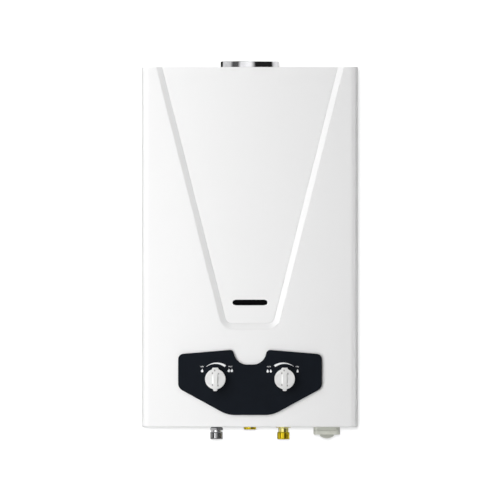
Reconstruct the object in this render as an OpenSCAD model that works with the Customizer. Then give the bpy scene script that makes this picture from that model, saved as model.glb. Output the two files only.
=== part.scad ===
// Wall-hung gas water heater with natural draught, built up from its separate pieces.
// Millimetres. The wall is the plane y = 0 and the front faces -Y. Heights in the modules
// are measured from the lower edge of the case; at_wall_centre() moves them to the origin,
// which is the centre of the back plate's wall face.

/* [Case] */
// Width of the case
case_w = 360; // [345:1:420]
// Height of the case
case_h = 600; // [592:1:680]
// Depth of the case, from the wall to the front face
case_d = 150; // [148:1:175]
// Thickness of the casing sheet
sheet_t = 1; // [0.8:0.1:1.2]
// Radius of the two rounded front edges
edge_r = 12; // [8:0.5:14]
// Gap between sheets that nest in one another
sheet_fit = 0.3; // [0.3:0.05:0.5]
// Height of the turned-in rims of the top and bottom plates
rim_h = 10; // [8:0.5:11]
// Sideways distance of the wall holes
wall_hole_dx = 180; // [170:1:190]
// Distance of the wall holes from the upper and lower edges of the case
wall_hole_edge = 30; // [27:0.5:36]
// Radius of the wall holes
wall_hole_r = 3.5; // [3:0.1:4.5]

/* [Front recess and sight window] */
// Depth of the V-shaped recess
recess_depth = 5; // [3:0.25:5.5]
// Width of the sloping border of the recess
recess_border = 10.2; // [7:0.2:12]
// Width of the recess floor at its lower edge
recess_low_w = 77; // [70:1:84]
// Distance of the recess floor from the sides at the top of the case
recess_side = 33.5; // [28:0.5:50]
// Corner radius of the recess floor
recess_corner_r = 12.5; // [8:0.5:16]
// Height of the window above the lower edge of the recess floor
window_rise = 34.8; // [30:0.2:38]
// Width of the sight slot
window_w = 57; // [46:0.5:60]
// Height of the sight slot
window_h = 9.4; // [7:0.2:11]

/* [Controls] */
// Height of the knob axes above the lower edge of the case
knob_z = 80; // [76:0.5:84]
// Distance between the two knobs
knob_pitch = 115.6; // [114:0.2:120]
// Radius of the knob disc
knob_r = 17; // [15:0.25:19]
// Height of the grip bar in front of the fascia
knob_h = 17; // [14:0.5:20]
// Radius of the spindles
spindle_r = 4; // [3.5:0.1:4.5]
// Width of the control fascia
fascia_w = 239.6; // [236:0.4:246]
// Thickness of the control fascia
fascia_t = 4; // [3:0.25:5]
// Width of the notch in the top edge of the fascia
fascia_notch_w = 55; // [50:0.5:60]

/* [Pipe connections] */
// Distance of the hot and cold connections from the gas connection
port_pitch = 55.8; // [54:0.2:58]
// Outside radius of the threaded ends
thread_r = 10.4775; // [10.3:0.0025:10.6]
// Length of the threaded ends
thread_l = 12; // [10:0.25:14]
// How far the hot and cold ends reach below the case
port_drop = 21.2; // [19:0.2:24]
// Outside radius of the water pipes
pipe_r = 7; // [6.5:0.1:7.2]
// Wall of the water pipes
pipe_wall = 1; // [0.7:0.05:1.4]

/* [Burner and exchanger] */
// Width of the combustion chamber
chamber_w = 236; // [230:1:238]
// Distance of the combustion chamber from the wall and from the front face
chamber_gap = 25; // [24.5:0.25:28]
// Height of the combustion chamber
chamber_h = 258; // [250:1:262]
// Number of burner bars
burner_count = 10; // [8:1:10]
// Distance between burner bars
burner_pitch = 21; // [19:0.25:22]
// Distance of the outer tube runs from the walls of the chamber
tube_margin = 10; // [9.5:0.25:12]
// Distance between fins
fin_pitch = 6; // [5:0.5:10]

/* [Flue] */
// Outside radius of the flue collar
flue_r = 49; // [45:0.5:50]
// How far the collar stands above the case
flue_rise = 10; // [8:0.5:30]

/* [Battery box] */
// Distance of the middle of the battery box from the right side of the case
battery_inset = 51.8; // [40:0.2:54]
// Width of the battery box under the case
battery_w = 43.8; // [43:0.2:48]
// Depth of the battery box under the case
battery_d = 86; // [84:0.5:92]
// How far the battery cover reaches below the case, without its grip
battery_drop = 13; // [11.75:0.25:14.5]

/* [Hidden] */
$fn = 48;

// Colours
white_enamel = [0.93, 0.93, 0.93];
galvanised = [0.68, 0.70, 0.71];
fascia_black = [0.11, 0.12, 0.14];
knob_white = [0.88, 0.88, 0.88];
bright_metal = [0.80, 0.80, 0.82];
copper = [0.78, 0.45, 0.30];
brass = [0.80, 0.65, 0.30];
alloy = [0.74, 0.75, 0.76];
steel = [0.60, 0.61, 0.63];
rubber_black = [0.08, 0.08, 0.08];
ceramic_white = [0.92, 0.90, 0.85];
box_grey = [0.68, 0.69, 0.65];
part_black = [0.12, 0.12, 0.13];
glass_dark = [0.03, 0.03, 0.04];
mica_tint = [0.85, 0.80, 0.65];
lead_red = [0.62, 0.12, 0.08];

// Layout along the depth
front_y = -case_d;
core_y = -case_d / 2;
chamber_d = case_d - 2 * chamber_gap;
tube_pitch = (chamber_d - 2 * tube_margin) / 4;
bend_r = 16;
coil_y = chamber_d / 2 + pipe_r + 0.3;
coil_turn = 2 * bend_r + 2;
chamber_corner_r = bend_r - pipe_r - 0.3;
valve_y = core_y - coil_y + coil_turn + 2 * pipe_r + 4.3;
wall_gap = 2;
floor_inner_y = front_y + recess_depth + sheet_t;
fascia_y = front_y - fascia_t;
knob_y = fascia_y - 0.5;

// Layout along the height
floor_z = 1;
floor_top = floor_z + sheet_t;
hot_run_z = knob_z - 32;
burner_z = knob_z + 57;
burner_h = 59.7;
chamber_z = burner_z + burner_h + 0.3;
chamber_top = chamber_z + chamber_h;
window_z = chamber_z + 10.5;
recess_z = window_z - window_rise;
tube_z = chamber_top - 30;
hood_top = case_h - 25;
injector_z = burner_z + 9.3;
electrode_z = chamber_z + 9;

wall_hole_dz = case_h - 2 * wall_hole_edge;

// Layout across the width
valve_x = knob_pitch / 2;
gas_end = valve_x - 41.8;
cover_x = valve_x - 27.8;
membrane_x = valve_x - 12.8;
flat_w = case_w - 2 * edge_r;
coil_x = chamber_w / 2 + pipe_r + 0.3;
tube_x = chamber_w / 2 + 4;
hot_x = -chamber_w / 2 - 30;
battery_x = case_w / 2 - battery_inset;
igniter_x = chamber_w / 2;
igniter_w = case_w / 2 - 10 - igniter_x;
lead_r = 1.5;
lead_x = [for (k = [0:2]) coil_x + pipe_r + 4 + 6 * k];

// Sizes that follow from the others
recess_low_half = recess_low_w / 2;
recess_slope = ((case_w - recess_low_w) / 2 - recess_side) / (case_h - recess_z);
collar_wall = 1.2;
neck_r = flue_r - 2 * collar_wall - 0.4;
rod_r = 2;
rod_travel = 3;
run_fit = 0.05;
cock_r = 10;
plug_r = 6;
gland_t = 6;
cell_l = 61.5;
bay_w = battery_w - 6.8;
bay_d = battery_d - 10;
bay_top = cell_l - 4.5;
hinge_y = core_y + battery_d / 2 + 3.4;
hinge_z = -battery_drop + 5;
hinge_r = 1.2;
electrode_x = [-66, -48, 52];
draw_down = 0.02;

// Points and outlines
function unit(v) = v / norm(v);

// Points that round the corner b between a and c
function corner(a, b, c, r, n) =
  r <= 0 ? [b] :
  let (
    u = unit(a - b),
    v = unit(c - b),
    half = acos(u * v) / 2,
    m = b + unit(u + v) * r / sin(half),
    s = b + u * r / tan(half) - m,
    e = b + v * r / tan(half) - m,
    first = atan2(s.y, s.x),
    turn = atan2(s.x * e.y - s.y * e.x, s * e)
  )
  [for (k = [0:n]) m + r * [cos(first + turn * k / n), sin(first + turn * k / n)]];

function rounded(pts, radii, n) =
  let (c = len(pts))
  [for (i = [0:c - 1]) each corner(pts[(i + c - 1) % c], pts[i], pts[(i + 1) % c], radii[i], n)];

// Half width of the recess floor at height z, grown outwards by o
function recess_half(z, o) =
  recess_low_half + (z - recess_z) * recess_slope + o * sqrt(1 + recess_slope * recess_slope);

// Outline of the recess in the X-Z plane, grown outwards by o
function recess_outline(o, top) =
  let (low = recess_z - o)
  rounded(
    [[-recess_half(low, o), low], [recess_half(low, o), low], [recess_half(top, o), top],
     [-recess_half(top, o), top]],
    [recess_corner_r + o, recess_corner_r + o, 0, 0], 8);

// Plan outline of the top plate, inset by i, with its rear edge at y = rear
function top_outline(i, rear) =
  let (
    x = case_w / 2 - sheet_t - sheet_fit - i,
    f = front_y + sheet_t + sheet_fit + i,
    r = floor_inner_y + sheet_fit + i,
    outer = recess_half(case_h, recess_border + sheet_t + sheet_fit + i),
    inner = recess_half(case_h, sheet_t + sheet_fit + i),
    c = edge_r - sheet_t - sheet_fit - i
  )
  rounded([[-x, f], [-outer, f], [-inner, r], [inner, r], [outer, f], [x, f], [x, rear], [-x, rear]],
    [c, 0, 0, 0, 0, c, 0, 0], 6);

// Plan outline of the bottom plate, inset by i, with its rear edge at y = rear
function bottom_outline(i, rear) =
  let (
    x = case_w / 2 - sheet_t - sheet_fit - i,
    f = front_y + sheet_t + sheet_fit + i,
    c = edge_r - sheet_t - sheet_fit - i
  )
  rounded([[-x, f], [x, f], [x, rear], [-x, rear]], [c, c, 0, 0], 6);

// Outline of the control fascia in the X-Z plane, inset by i
function fascia_outline(i) =
  let (
    w = fascia_w / 2 - i,
    n = fascia_notch_w / 2 + 0.5 + i,
    foot = n - 4.4,
    top = knob_z + 49 - i,
    side = knob_z + 41.3 - i,
    shoulder = knob_z - 15.2 + 0.5 * i,
    base = 37.7 - 0.5 * i,
    low = knob_z - 60 + i,
    notch = knob_z + 24.1 - i
  )
  rounded(
    [[-base, low], [base, low], [w, shoulder], [w, side], [n, top], [foot, notch], [-foot, notch], [-n, top],
     [-w, side], [-w, shoulder]],
    [50, 50, 13, 9.3, 8, 22.4, 22.4, 8, 9.3, 13], 8);

// Solid between two convex rings of points, with the first ring anticlockwise seen from outside
module loft(a, b) {
  n = len(a);
  polyhedron(
    points = concat(a, b),
    faces = concat(
      [[for (i = [n - 1:-1:0]) i]],
      [[for (i = [0:n - 1]) n + i]],
      [for (i = [0:n - 1]) [i, (i + 1) % n, n + (i + 1) % n]],
      [for (i = [0:n - 1]) [i, n + (i + 1) % n, n + i]]));
}

module recess_loft(front_o, floor_o, y0, y1, top) {
  loft([for (p = recess_outline(front_o, top)) [p.x, y0, p.y]],
    [for (p = recess_outline(floor_o, top)) [p.x, y1, p.y]]);
}

// Ring of a rectangle at height z, clockwise seen from above
function rect_ring(w, d, yc, z) =
  [[-w / 2, yc - d / 2, z], [-w / 2, yc + d / 2, z], [w / 2, yc + d / 2, z], [w / 2, yc - d / 2, z]];

// Places children with the given origin and axes
module oriented(o, x, y, z) {
  multmatrix([[x.x, y.x, z.x, o.x], [x.y, y.y, z.y, o.y], [x.z, y.z, z.z, o.z], [0, 0, 0, 1]]) children();
}

function across(d) = abs(d.z) < 0.9 ? unit(cross(d, [0, 0, 1])) : unit(cross(d, [1, 0, 0]));

module rod(a, b, r) {
  if (norm(b - a) > 0.01) {
    d = unit(b - a);
    u = across(d);
    oriented(a, u, cross(d, u), d) cylinder(r = r, h = norm(b - a));
  }
}

// Round bar along a line of points, with bends of one radius, drawn a touch thinner in the bends
module swept_round(pts, r, bend) {
  n = len(pts);
  d = [for (i = [0:n - 2]) unit(pts[i + 1] - pts[i])];
  turn = [for (i = [0:n - 1]) i == 0 || i == n - 1 ? 0 : acos(d[i - 1] * d[i])];
  back = [for (i = [0:n - 1]) bend * tan(turn[i] / 2)];
  for (i = [0:n - 2])
    rod(pts[i] + d[i] * back[i], pts[i + 1] - d[i] * back[i + 1], r);
  for (i = [1:n - 2]) {
    start = pts[i] - d[i - 1] * back[i];
    inward = unit(d[i] - d[i - 1] * (d[i] * d[i - 1]));
    oriented(start + inward * bend, -inward, d[i - 1], cross(-inward, d[i - 1]))
      rotate_extrude(angle = turn[i]) translate([bend, 0]) circle(r = r - draw_down);
  }
}

// The same line with both ends made longer
function longer(pts, e) =
  let (n = len(pts))
  [for (i = [0:n - 1])
    i == 0 ? pts[0] - unit(pts[1] - pts[0]) * e :
    i == n - 1 ? pts[n - 1] + unit(pts[n - 1] - pts[n - 2]) * e : pts[i]];

module pipe(pts, r, wall, bend) {
  difference() {
    swept_round(pts, r, bend);
    swept_round(longer(pts, 0.5), r - wall, bend);
  }
}

// Box between two corners
module block(a, b) {
  translate(a) cube(b - a);
}

// Box between two corners with rounded upright edges
module upright_block(a, b, r) {
  block([a.x + r, a.y, a.z], [b.x - r, b.y, b.z]);
  block([a.x, a.y + r, a.z], [b.x, b.y - r, b.z]);
  for (x = [a.x + r, b.x - r], y = [a.y + r, b.y - r])
    translate([x, y, a.z]) cylinder(r = r, h = b.z - a.z);
}

// Cylinder along X from x0 to x1, along Y from y0 to y1
module along_x(x0, x1, y, z, r) {
  translate([x0, y, z]) rotate([0, 90, 0]) cylinder(r = r, h = x1 - x0);
}

module along_y(y0, y1, x, z, r) {
  translate([x, y1, z]) rotate([90, 0, 0]) cylinder(r = r, h = y1 - y0);
}

module along_z(z0, z1, x, y, r) {
  translate([x, y, z0]) cylinder(r = r, h = z1 - z0);
}

// Upright slot with round ends, lying along X, cut through from y0 to y1
module slot_y(w, h, y0, y1, x, z) {
  block([x - w / 2 + h / 2, y0, z - h / 2], [x + w / 2 - h / 2, y1, z + h / 2]);
  for (s = [-1, 1]) along_y(y0, y1, x + s * (w / 2 - h / 2), z, h / 2);
}

// Case

screw_y = -12;
screw_zs = [60, case_h - 60];

module front_cover() {
  color(white_enamel)
  difference() {
    union() {
      block([-flat_w / 2, front_y, 0], [flat_w / 2, front_y + sheet_t, case_h]);
      recess_loft(recess_border + sheet_t, sheet_t, front_y, floor_inner_y, case_h);
      for (s = [-1, 1]) {
        translate([s * (case_w / 2 - edge_r), front_y + edge_r, 0])
          rotate([0, 0, s > 0 ? 270 : 180])
          rotate_extrude(angle = 90)
          translate([edge_r - sheet_t, 0])
          square([sheet_t, case_h]);
        block([s > 0 ? case_w / 2 - sheet_t : -case_w / 2, front_y + edge_r, 0],
          [s > 0 ? case_w / 2 : -case_w / 2 + sheet_t, -wall_gap, case_h]);
      }
    }
    recess_loft(recess_border * (1 + 1 / recess_depth), 0, front_y - 1, front_y + recess_depth, case_h + 1);
    slot_y(window_w, window_h, front_y, floor_inner_y + 1, 0, window_z);
    for (s = [-1, 1]) {
      along_y(front_y - 1, front_y + sheet_t + 1, s * valve_x, knob_z, knob_r - 5);
      for (p = fascia_pegs) along_y(front_y - 1, front_y + sheet_t + 1, s * p.x, p.y, peg_r + 0.2);
      for (z = screw_zs)
        translate([s * case_w / 2, screw_y, z]) rotate([0, -s * 90, 0])
          translate([0, 0, -0.01]) cylinder(r1 = 4.1, r2 = 2.2, h = sheet_t + 0.02);
    }
  }
}

module back_plate() {
  x1 = case_w / 2 - sheet_t - sheet_fit;
  low = floor_top + sheet_fit;
  high = case_h - sheet_t - sheet_fit;
  color(galvanised)
  difference() {
    union() {
      block([-x1, -sheet_t, low], [x1, 0, high]);
      for (s = [-1, 1])
        block([s > 0 ? x1 - sheet_t : -x1, -20, floor_top + rim_h + 1],
          [s > 0 ? x1 : -x1 + sheet_t, -sheet_t / 2, case_h - sheet_t - rim_h - 1]);
      for (z = bead_zs) slot_y(bead_w + 2 * sheet_t, bead_h + 2 * sheet_t, -4, -sheet_t / 2, 0, z);
    }
    for (z = bead_zs) slot_y(bead_w, bead_h, -4 + sheet_t, 1, 0, z);
    for (x = [-1, 1], z = [-1, 1])
      along_y(-sheet_t - 1, 1, x * wall_hole_dx / 2, case_h / 2 + z * wall_hole_dz / 2, wall_hole_r);
    for (s = [-1, 1], z = screw_zs)
      along_x(s > 0 ? x1 - sheet_t - 1 : -x1 - 1, s > 0 ? x1 + 1 : -x1 + sheet_t + 1, screw_y, z, 2.1);
  }
}

bead_w = 220;
bead_h = 12;
bead_zs = [chamber_z + 30, chamber_z + 160];

module top_plate() {
  rear = -sheet_t - sheet_fit;
  color(white_enamel)
  difference() {
    union() {
      translate([0, 0, case_h - sheet_t]) linear_extrude(sheet_t) polygon(top_outline(0, 0));
      translate([0, 0, case_h - sheet_t - rim_h])
        linear_extrude(rim_h + sheet_t / 2)
        difference() {
          polygon(top_outline(0, rear));
          polygon(top_outline(sheet_t, rear - sheet_t));
        }
    }
    along_z(case_h - 2 * sheet_t, case_h + 1, 0, core_y, flue_r - collar_wall + 0.3);
  }
}

module bottom_plate() {
  rear = -sheet_t - sheet_fit;
  color(galvanised)
  difference() {
    union() {
      translate([0, 0, floor_z]) linear_extrude(sheet_t) polygon(bottom_outline(0, 0));
      translate([0, 0, floor_z + sheet_t / 2])
        linear_extrude(rim_h + sheet_t / 2)
        difference() {
          polygon(bottom_outline(0, rear));
          polygon(bottom_outline(sheet_t, rear - sheet_t));
        }
    }
    for (x = [-port_pitch, 0, port_pitch]) along_z(floor_z - 1, floor_top + 1, x, valve_y, 15);
    block([battery_x - bay_w / 2 - 2.4, core_y - bay_d / 2 - 2.4, floor_z - 1],
      [battery_x + bay_w / 2 + 2.4, core_y + bay_d / 2 + 2.4, floor_top + 1]);
    for (k = [0:24], y = [front_y + 14, -44])
      block([-138 + 9 * k - 1.8, y, floor_z - 1], [-138 + 9 * k + 1.8, y + 28, floor_top + 1]);
  }
}

// Flush screws that hold the cover to the flanges of the back plate
module cover_screws() {
  color(steel)
  for (s = [-1, 1], z = screw_zs)
    translate([s * case_w / 2, screw_y, z]) rotate([0, -s * 90, 0]) {
      difference() {
        cylinder(r1 = 3.9, r2 = 2, h = sheet_t);
        block([-2.6, -0.4, -1], [2.6, 0.4, 0.5]);
        block([-0.4, -2.6, -1], [0.4, 2.6, 0.5]);
      }
      translate([0, 0, sheet_t - 0.05]) cylinder(r = 2, h = 7);
    }
}

// Sight window

pane_w = window_w + 18;
pane_h = window_h + 12;
pane_t = 2.5;

module sight_glass() {
  color(glass_dark)
  block([-pane_w / 2, floor_inner_y, window_z - pane_h / 2],
    [pane_w / 2, floor_inner_y + pane_t, window_z + pane_h / 2]);
}

module sight_frame() {
  color(steel)
  difference() {
    block([-pane_w / 2 - 3, floor_inner_y, window_z - pane_h / 2 - 3],
      [pane_w / 2 + 3, floor_inner_y + pane_t + 1, window_z + pane_h / 2 + 3]);
    block([-pane_w / 2 - 0.1, floor_inner_y - 1, window_z - pane_h / 2 - 0.1],
      [pane_w / 2 + 0.1, floor_inner_y + pane_t + 0.05, window_z + pane_h / 2 + 0.1]);
    slot_y(window_w + 4, window_h + 4, floor_inner_y, floor_inner_y + pane_t + 2, 0, window_z);
  }
}

// Controls

peg_r = 2.4;
fascia_pegs = [[fascia_w / 2 - 15, knob_z + 26], [valve_x + 4, knob_z - 33], [valve_x - 24, knob_z + 38]];
shank_r = spindle_r + 3;

module control_fascia() {
  color(fascia_black)
  difference() {
    union() {
      difference() {
        translate([0, front_y, 0]) rotate([90, 0, 0]) linear_extrude(fascia_t) polygon(fascia_outline(0));
        translate([0, front_y + 1, 0]) rotate([90, 0, 0]) linear_extrude(fascia_t - 1)
          polygon(fascia_outline(2));
      }
      for (s = [-1, 1]) {
        along_y(fascia_y + 0.5, front_y, s * valve_x, knob_z, shank_r + 3);
        for (p = fascia_pegs) along_y(fascia_y + 0.5, front_y + sheet_t + 3, s * p.x, p.y, peg_r);
      }
    }
    for (s = [-1, 1]) along_y(fascia_y - 1, front_y + 1, s * valve_x, knob_z, shank_r + 0.6);
  }
}

// Knob about its own axis, with the front towards +Z and the grip bar along Y: a low crowned drum with a
// tab at each end of the bar, and a hollow on each side for finger and thumb
module knob_form() {
  tab = rounded([[-3.5, -knob_r - 3], [3.5, -knob_r - 3], [5, knob_r + 2], [-5, knob_r + 2]], [2, 2, 3, 3], 4);
  crown = 1.5;
  crown_r = (knob_r * knob_r + crown * crown) / (2 * crown);
  grip_half = 4.3;
  hollow_half = 0.61 * knob_r;
  hollow_d = 2.6;
  hollow_r = (hollow_half * hollow_half + hollow_d * hollow_d) / (2 * hollow_d);
  difference() {
    union() {
      rotate_extrude()
        polygon(concat([[0, 0], [knob_r, 0], [knob_r, knob_h - crown - 1.2]],
          [for (k = [6:-1:0])
            let (r = (knob_r - 1.2) * k / 6)
            [r, knob_h - crown_r + sqrt(crown_r * crown_r - r * r)]]));
      translate([0, 0, 0.5]) linear_extrude(knob_h - 3.5) polygon(tab);
      translate([0, 0, -8.5]) cylinder(r = shank_r, h = 9);
    }
    translate([0, 0, -9]) intersection() {
      cylinder(r = spindle_r + run_fit, h = 17);
      block([-10, -10, 0], [10, spindle_r - 1.2 + run_fit, 20]);
    }
    for (s = [0, 1])
      mirror([s, 0, 0]) along_x(grip_half, knob_r + 1, -0.4, knob_h - hollow_d + hollow_r, hollow_r);
  }
}

module gas_knob() {
  color(knob_white) translate([-valve_x, knob_y, knob_z]) rotate([90, 0, 0]) knob_form();
}

module water_knob() {
  color(knob_white) translate([valve_x, knob_y, knob_z]) rotate([90, 0, 0]) knob_form();
}

// Spindle about its own axis: a plug of radius r and length l from z = 0, then a stem up to z = tip
module spindle_form(r, l, tip) {
  difference() {
    union() {
      cylinder(r = r, h = l);
      cylinder(r = spindle_r, h = tip);
    }
    block([-10, spindle_r - 1.2, tip - 16], [10, 10, tip + 1]);
  }
}

gas_plug_y = valve_y + 10;
gas_boss_y = valve_y - 32;
water_plug_y = valve_y + 2;
water_boss_y = valve_y - 34;

module gas_spindle() {
  color(brass)
  difference() {
    translate([-valve_x, gas_plug_y, knob_z]) rotate([90, 0, 0])
      spindle_form(cock_r, gas_plug_y - gas_boss_y - 4, gas_plug_y - knob_y + 7.5);
    along_x(-valve_x - cock_r - 1, -valve_x + cock_r + 1, valve_y, knob_z, 5);
  }
}

module water_spindle() {
  color(brass)
  difference() {
    translate([valve_x, water_plug_y, knob_z]) rotate([90, 0, 0])
      spindle_form(plug_r, water_plug_y - water_boss_y - 4, water_plug_y - knob_y + 7.5);
    translate([valve_x, water_boss_y + 10, knob_z]) rotate([90, 0, 0])
      rotate_extrude() translate([plug_r - 0.8, 0]) square([2, 2]);
  }
}

// Hexagon nut round a spindle, against the end of a boss at y
module gland_nut(x, y, r) {
  difference() {
    translate([x, y, knob_z]) rotate([90, 0, 0]) cylinder(r = r, h = gland_t, $fn = 6);
    along_y(y - gland_t - 1, y + 1, x, knob_z, spindle_r + 0.4);
  }
}

module gas_gland_nut() {
  color(brass) gland_nut(-valve_x, gas_boss_y, 14.5);
}

module water_gland_nut() {
  color(brass) gland_nut(valve_x, water_boss_y, 12.5);
}

// Flue

module flue_collar() {
  color(bright_metal)
  translate([0, core_y, 0])
  rotate_extrude()
  polygon([
    [flue_r - 2 * collar_wall, case_h - 12],
    [flue_r - collar_wall, case_h - 12],
    [flue_r - collar_wall, case_h],
    [flue_r, case_h],
    [flue_r, case_h + flue_rise],
    [flue_r - 2 * collar_wall, case_h + flue_rise]
  ]);
}

hood_w = chamber_w + 3;
hood_d = chamber_d + 3;
hood_neck_w = 2 * neck_r + 12;

module draught_hood() {
  z1 = chamber_top + 2;
  color(galvanised)
  difference() {
    union() {
      block([-hood_w / 2, core_y - hood_d / 2, chamber_top - 8], [hood_w / 2, core_y + hood_d / 2, z1]);
      loft(rect_ring(hood_w, hood_d, core_y, z1), rect_ring(hood_neck_w, hood_d, core_y, hood_top));
      along_z(hood_top - 1, case_h - 1, 0, core_y, neck_r);
    }
    block([-hood_w / 2 + 1, core_y - hood_d / 2 + 1, chamber_top - 9],
      [hood_w / 2 - 1, core_y + hood_d / 2 - 1, z1 + 0.01]);
    loft(rect_ring(hood_w - 2, hood_d - 2, core_y, z1),
      rect_ring(hood_neck_w - 2, hood_d - 2, core_y, hood_top - 1));
    along_z(hood_top - 2, case_h, 0, core_y, neck_r - 1);
    block([-90, core_y - hood_d / 2 - 1, z1 + 6], [90, core_y - hood_d / 2 + 3, z1 + 26]);
  }
}

// Bent plate across the hood, which keeps a down draught off the burner
module draught_baffle() {
  z0 = chamber_top + 34;
  l = core_y - hood_d / 2 + 1.1;
  color(galvanised)
  difference() {
    loft([[-78, l, z0], [-78, l + hood_d - 2.2, z0], [78, l + hood_d - 2.2, z0], [78, l, z0]],
      [[-2, l, z0 + 22], [-2, l + hood_d - 2.2, z0 + 22], [2, l + hood_d - 2.2, z0 + 22], [2, l, z0 + 22]]);
    loft([[-75, l - 1, z0 - 0.5], [-75, l + hood_d, z0 - 0.5], [75, l + hood_d, z0 - 0.5], [75, l - 1, z0 - 0.5]],
      [[-1, l - 1, z0 + 20.8], [-1, l + hood_d, z0 + 20.8], [1, l + hood_d, z0 + 20.8], [1, l - 1, z0 + 20.8]]);
  }
}

// Chamber and exchanger

tube_ys = [for (k = [2:-1:-2]) core_y + k * tube_pitch];

module combustion_chamber() {
  x1 = chamber_w / 2;
  y0 = core_y - chamber_d / 2;
  color(copper)
  difference() {
    upright_block([-x1, y0, chamber_z], [x1, y0 + chamber_d, chamber_top], chamber_corner_r);
    upright_block([-x1 + 1, y0 + 1, chamber_z - 1], [x1 - 1, y0 + chamber_d - 1, chamber_top + 1],
      chamber_corner_r - 1);
    for (y = tube_ys) {
      along_x(-x1 - 1, -x1 + chamber_corner_r, y, tube_z, pipe_r + 0.1);
      along_x(x1 - chamber_corner_r, x1 + 1, y, tube_z, pipe_r + 0.1);
    }
    slot_y(window_w - 6, window_h, y0 - 1, y0 + 2, 0, window_z);
    for (x = electrode_x) along_y(y0 - 1, y0 + 2, x, electrode_z, 4.3);
  }
}

coil_z = chamber_z + 40;
coil_step = 55;

// Two turns of tube round the chamber, joined in the middle of the long runs
module chamber_coil() {
  x = coil_x;
  f = core_y - coil_y;
  b = core_y + coil_y;
  low = coil_z;
  top = coil_z + coil_step;
  out = coil_x + 18;
  y = tube_ys[0];
  pieces = [
    [[x, valve_y, low - 22], [x, valve_y, low], [x, b, low], [0, b, low]],
    [[0, b, low], [-x, b, low], [-x, f, low], [0, f, low]],
    [[0, f, low], [x, f, low], [x, f + coil_turn, low], [x, f + coil_turn, top], [x, b, top], [0, b, top]],
    [[0, b, top], [-x, b, top], [-x, f, top], [0, f, top]],
    [[0, f, top], [out, f, top], [out, y, top], [out, y, tube_z], [tube_x + 0.1, y, tube_z]]
  ];
  color(copper)
  for (p = pieces) pipe(p, pipe_r, pipe_wall, bend_r);
}

fin_n = floor((chamber_w - 20) / fin_pitch / 2);

module exchanger_fins() {
  d = chamber_d - 3;
  color(copper)
  for (k = [-fin_n:fin_n])
    difference() {
      block([k * fin_pitch - 0.4, core_y - d / 2, tube_z - 27], [k * fin_pitch + 0.4, core_y + d / 2, tube_z + 27]);
      for (y = tube_ys) along_x(k * fin_pitch - 1, k * fin_pitch + 1, y, tube_z, pipe_r + 0.1);
    }
}

// Five straight runs joined by return bends, hollow of radius r
module serpentine(r, e) {
  for (k = [0:4])
    along_x(k == 4 ? -tube_x - e : -tube_x, k == 0 ? tube_x + e : tube_x, tube_ys[k], tube_z, r);
  for (k = [0:3])
    translate([k % 2 == 0 ? -tube_x : tube_x, (tube_ys[k] + tube_ys[k + 1]) / 2, tube_z])
      rotate([0, 0, k % 2 == 0 ? 90 : 270])
      rotate_extrude(angle = 180)
      translate([tube_pitch / 2, 0])
      circle(r = r);
}

module exchanger_tubes() {
  color(copper)
  difference() {
    serpentine(pipe_r, 0);
    serpentine(pipe_r - pipe_wall, 0.5);
  }
}

module chamber_mica() {
  y0 = core_y - chamber_d / 2;
  color(mica_tint)
  block([-window_w / 2 - 4, y0 - 0.8, window_z - window_h / 2 - 4],
    [window_w / 2 + 4, y0, window_z + window_h / 2 + 4]);
}

// Burner

bar_z = burner_z + 1.3;
bar_y0 = core_y - chamber_d / 2 + 1.3;
bar_y1 = core_y + chamber_d / 2 - 1.3;
port_step = (bar_y1 - bar_y0 - 14) / 11.3;
bar_x = [for (k = [0:burner_count - 1]) (k - (burner_count - 1) / 2) * burner_pitch];

module burner_bars() {
  color(steel)
  for (x = bar_x)
    translate([x, 0, bar_z])
    difference() {
      union() {
        along_y(bar_y0, bar_y1, 0, 8, 7.5);
        block([-2.5, bar_y0, 8], [2.5, bar_y1, 44]);
        block([-4.5, bar_y0, 42], [4.5, bar_y1, 52]);
      }
      along_y(bar_y0 - 1, bar_y0 + 26, 0, 8, 5);
      for (k = [0:11])
        block([-6, bar_y0 + 6 + k * port_step, 48], [6, bar_y0 + 7.8 + k * port_step, 53]);
    }
}

module burner_tray() {
  x1 = chamber_w / 2;
  y0 = core_y - chamber_d / 2;
  y1 = core_y + chamber_d / 2;
  top = burner_z + burner_h;
  color(galvanised)
  difference() {
    block([-x1, y0, burner_z], [x1, y1, top]);
    block([-x1 + 1, y0 + 1, burner_z + 1], [x1 - 1, y1 - 1, top + 1]);
    block([-x1 + 1, y0 + 13, burner_z - 1], [x1 - 1, y1 - 13, burner_z + 2]);
    for (x = bar_x) along_y(y0 - 1, y0 + 2, x, injector_z, 6);
  }
}

manifold_y1 = core_y - chamber_d / 2 - 2;
manifold_y0 = manifold_y1 - 14;
manifold_half = burner_pitch * (burner_count - 1) / 2 + 11;

module gas_manifold() {
  color(alloy)
  difference() {
    block([-manifold_half, manifold_y0, injector_z - 7], [manifold_half, manifold_y1, injector_z + 7]);
    along_x(-manifold_half - 1, manifold_half - 6, (manifold_y0 + manifold_y1) / 2, injector_z, 4.5);
    along_z(injector_z - 8, injector_z, -valve_x, (manifold_y0 + manifold_y1) / 2, 5);
  }
}

module injectors() {
  color(brass)
  for (x = bar_x)
    difference() {
      union() {
        along_y(manifold_y1, manifold_y1 + 2, x, injector_z, 3.8);
        along_y(manifold_y1 + 1, manifold_y1 + 7, x, injector_z, 2.8);
      }
      along_y(manifold_y1 - 1, manifold_y1 + 8, x, injector_z, 0.8);
    }
}

module gas_riser() {
  y = (manifold_y0 + manifold_y1) / 2;
  color(steel)
  pipe([
    [-valve_x, valve_y, knob_z + 20],
    [-valve_x, valve_y, knob_z + 36],
    [-valve_x, y, knob_z + 36],
    [-valve_x, y, injector_z - 7]
  ], 7, 1.2, 12);
}

// Ignition

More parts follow.
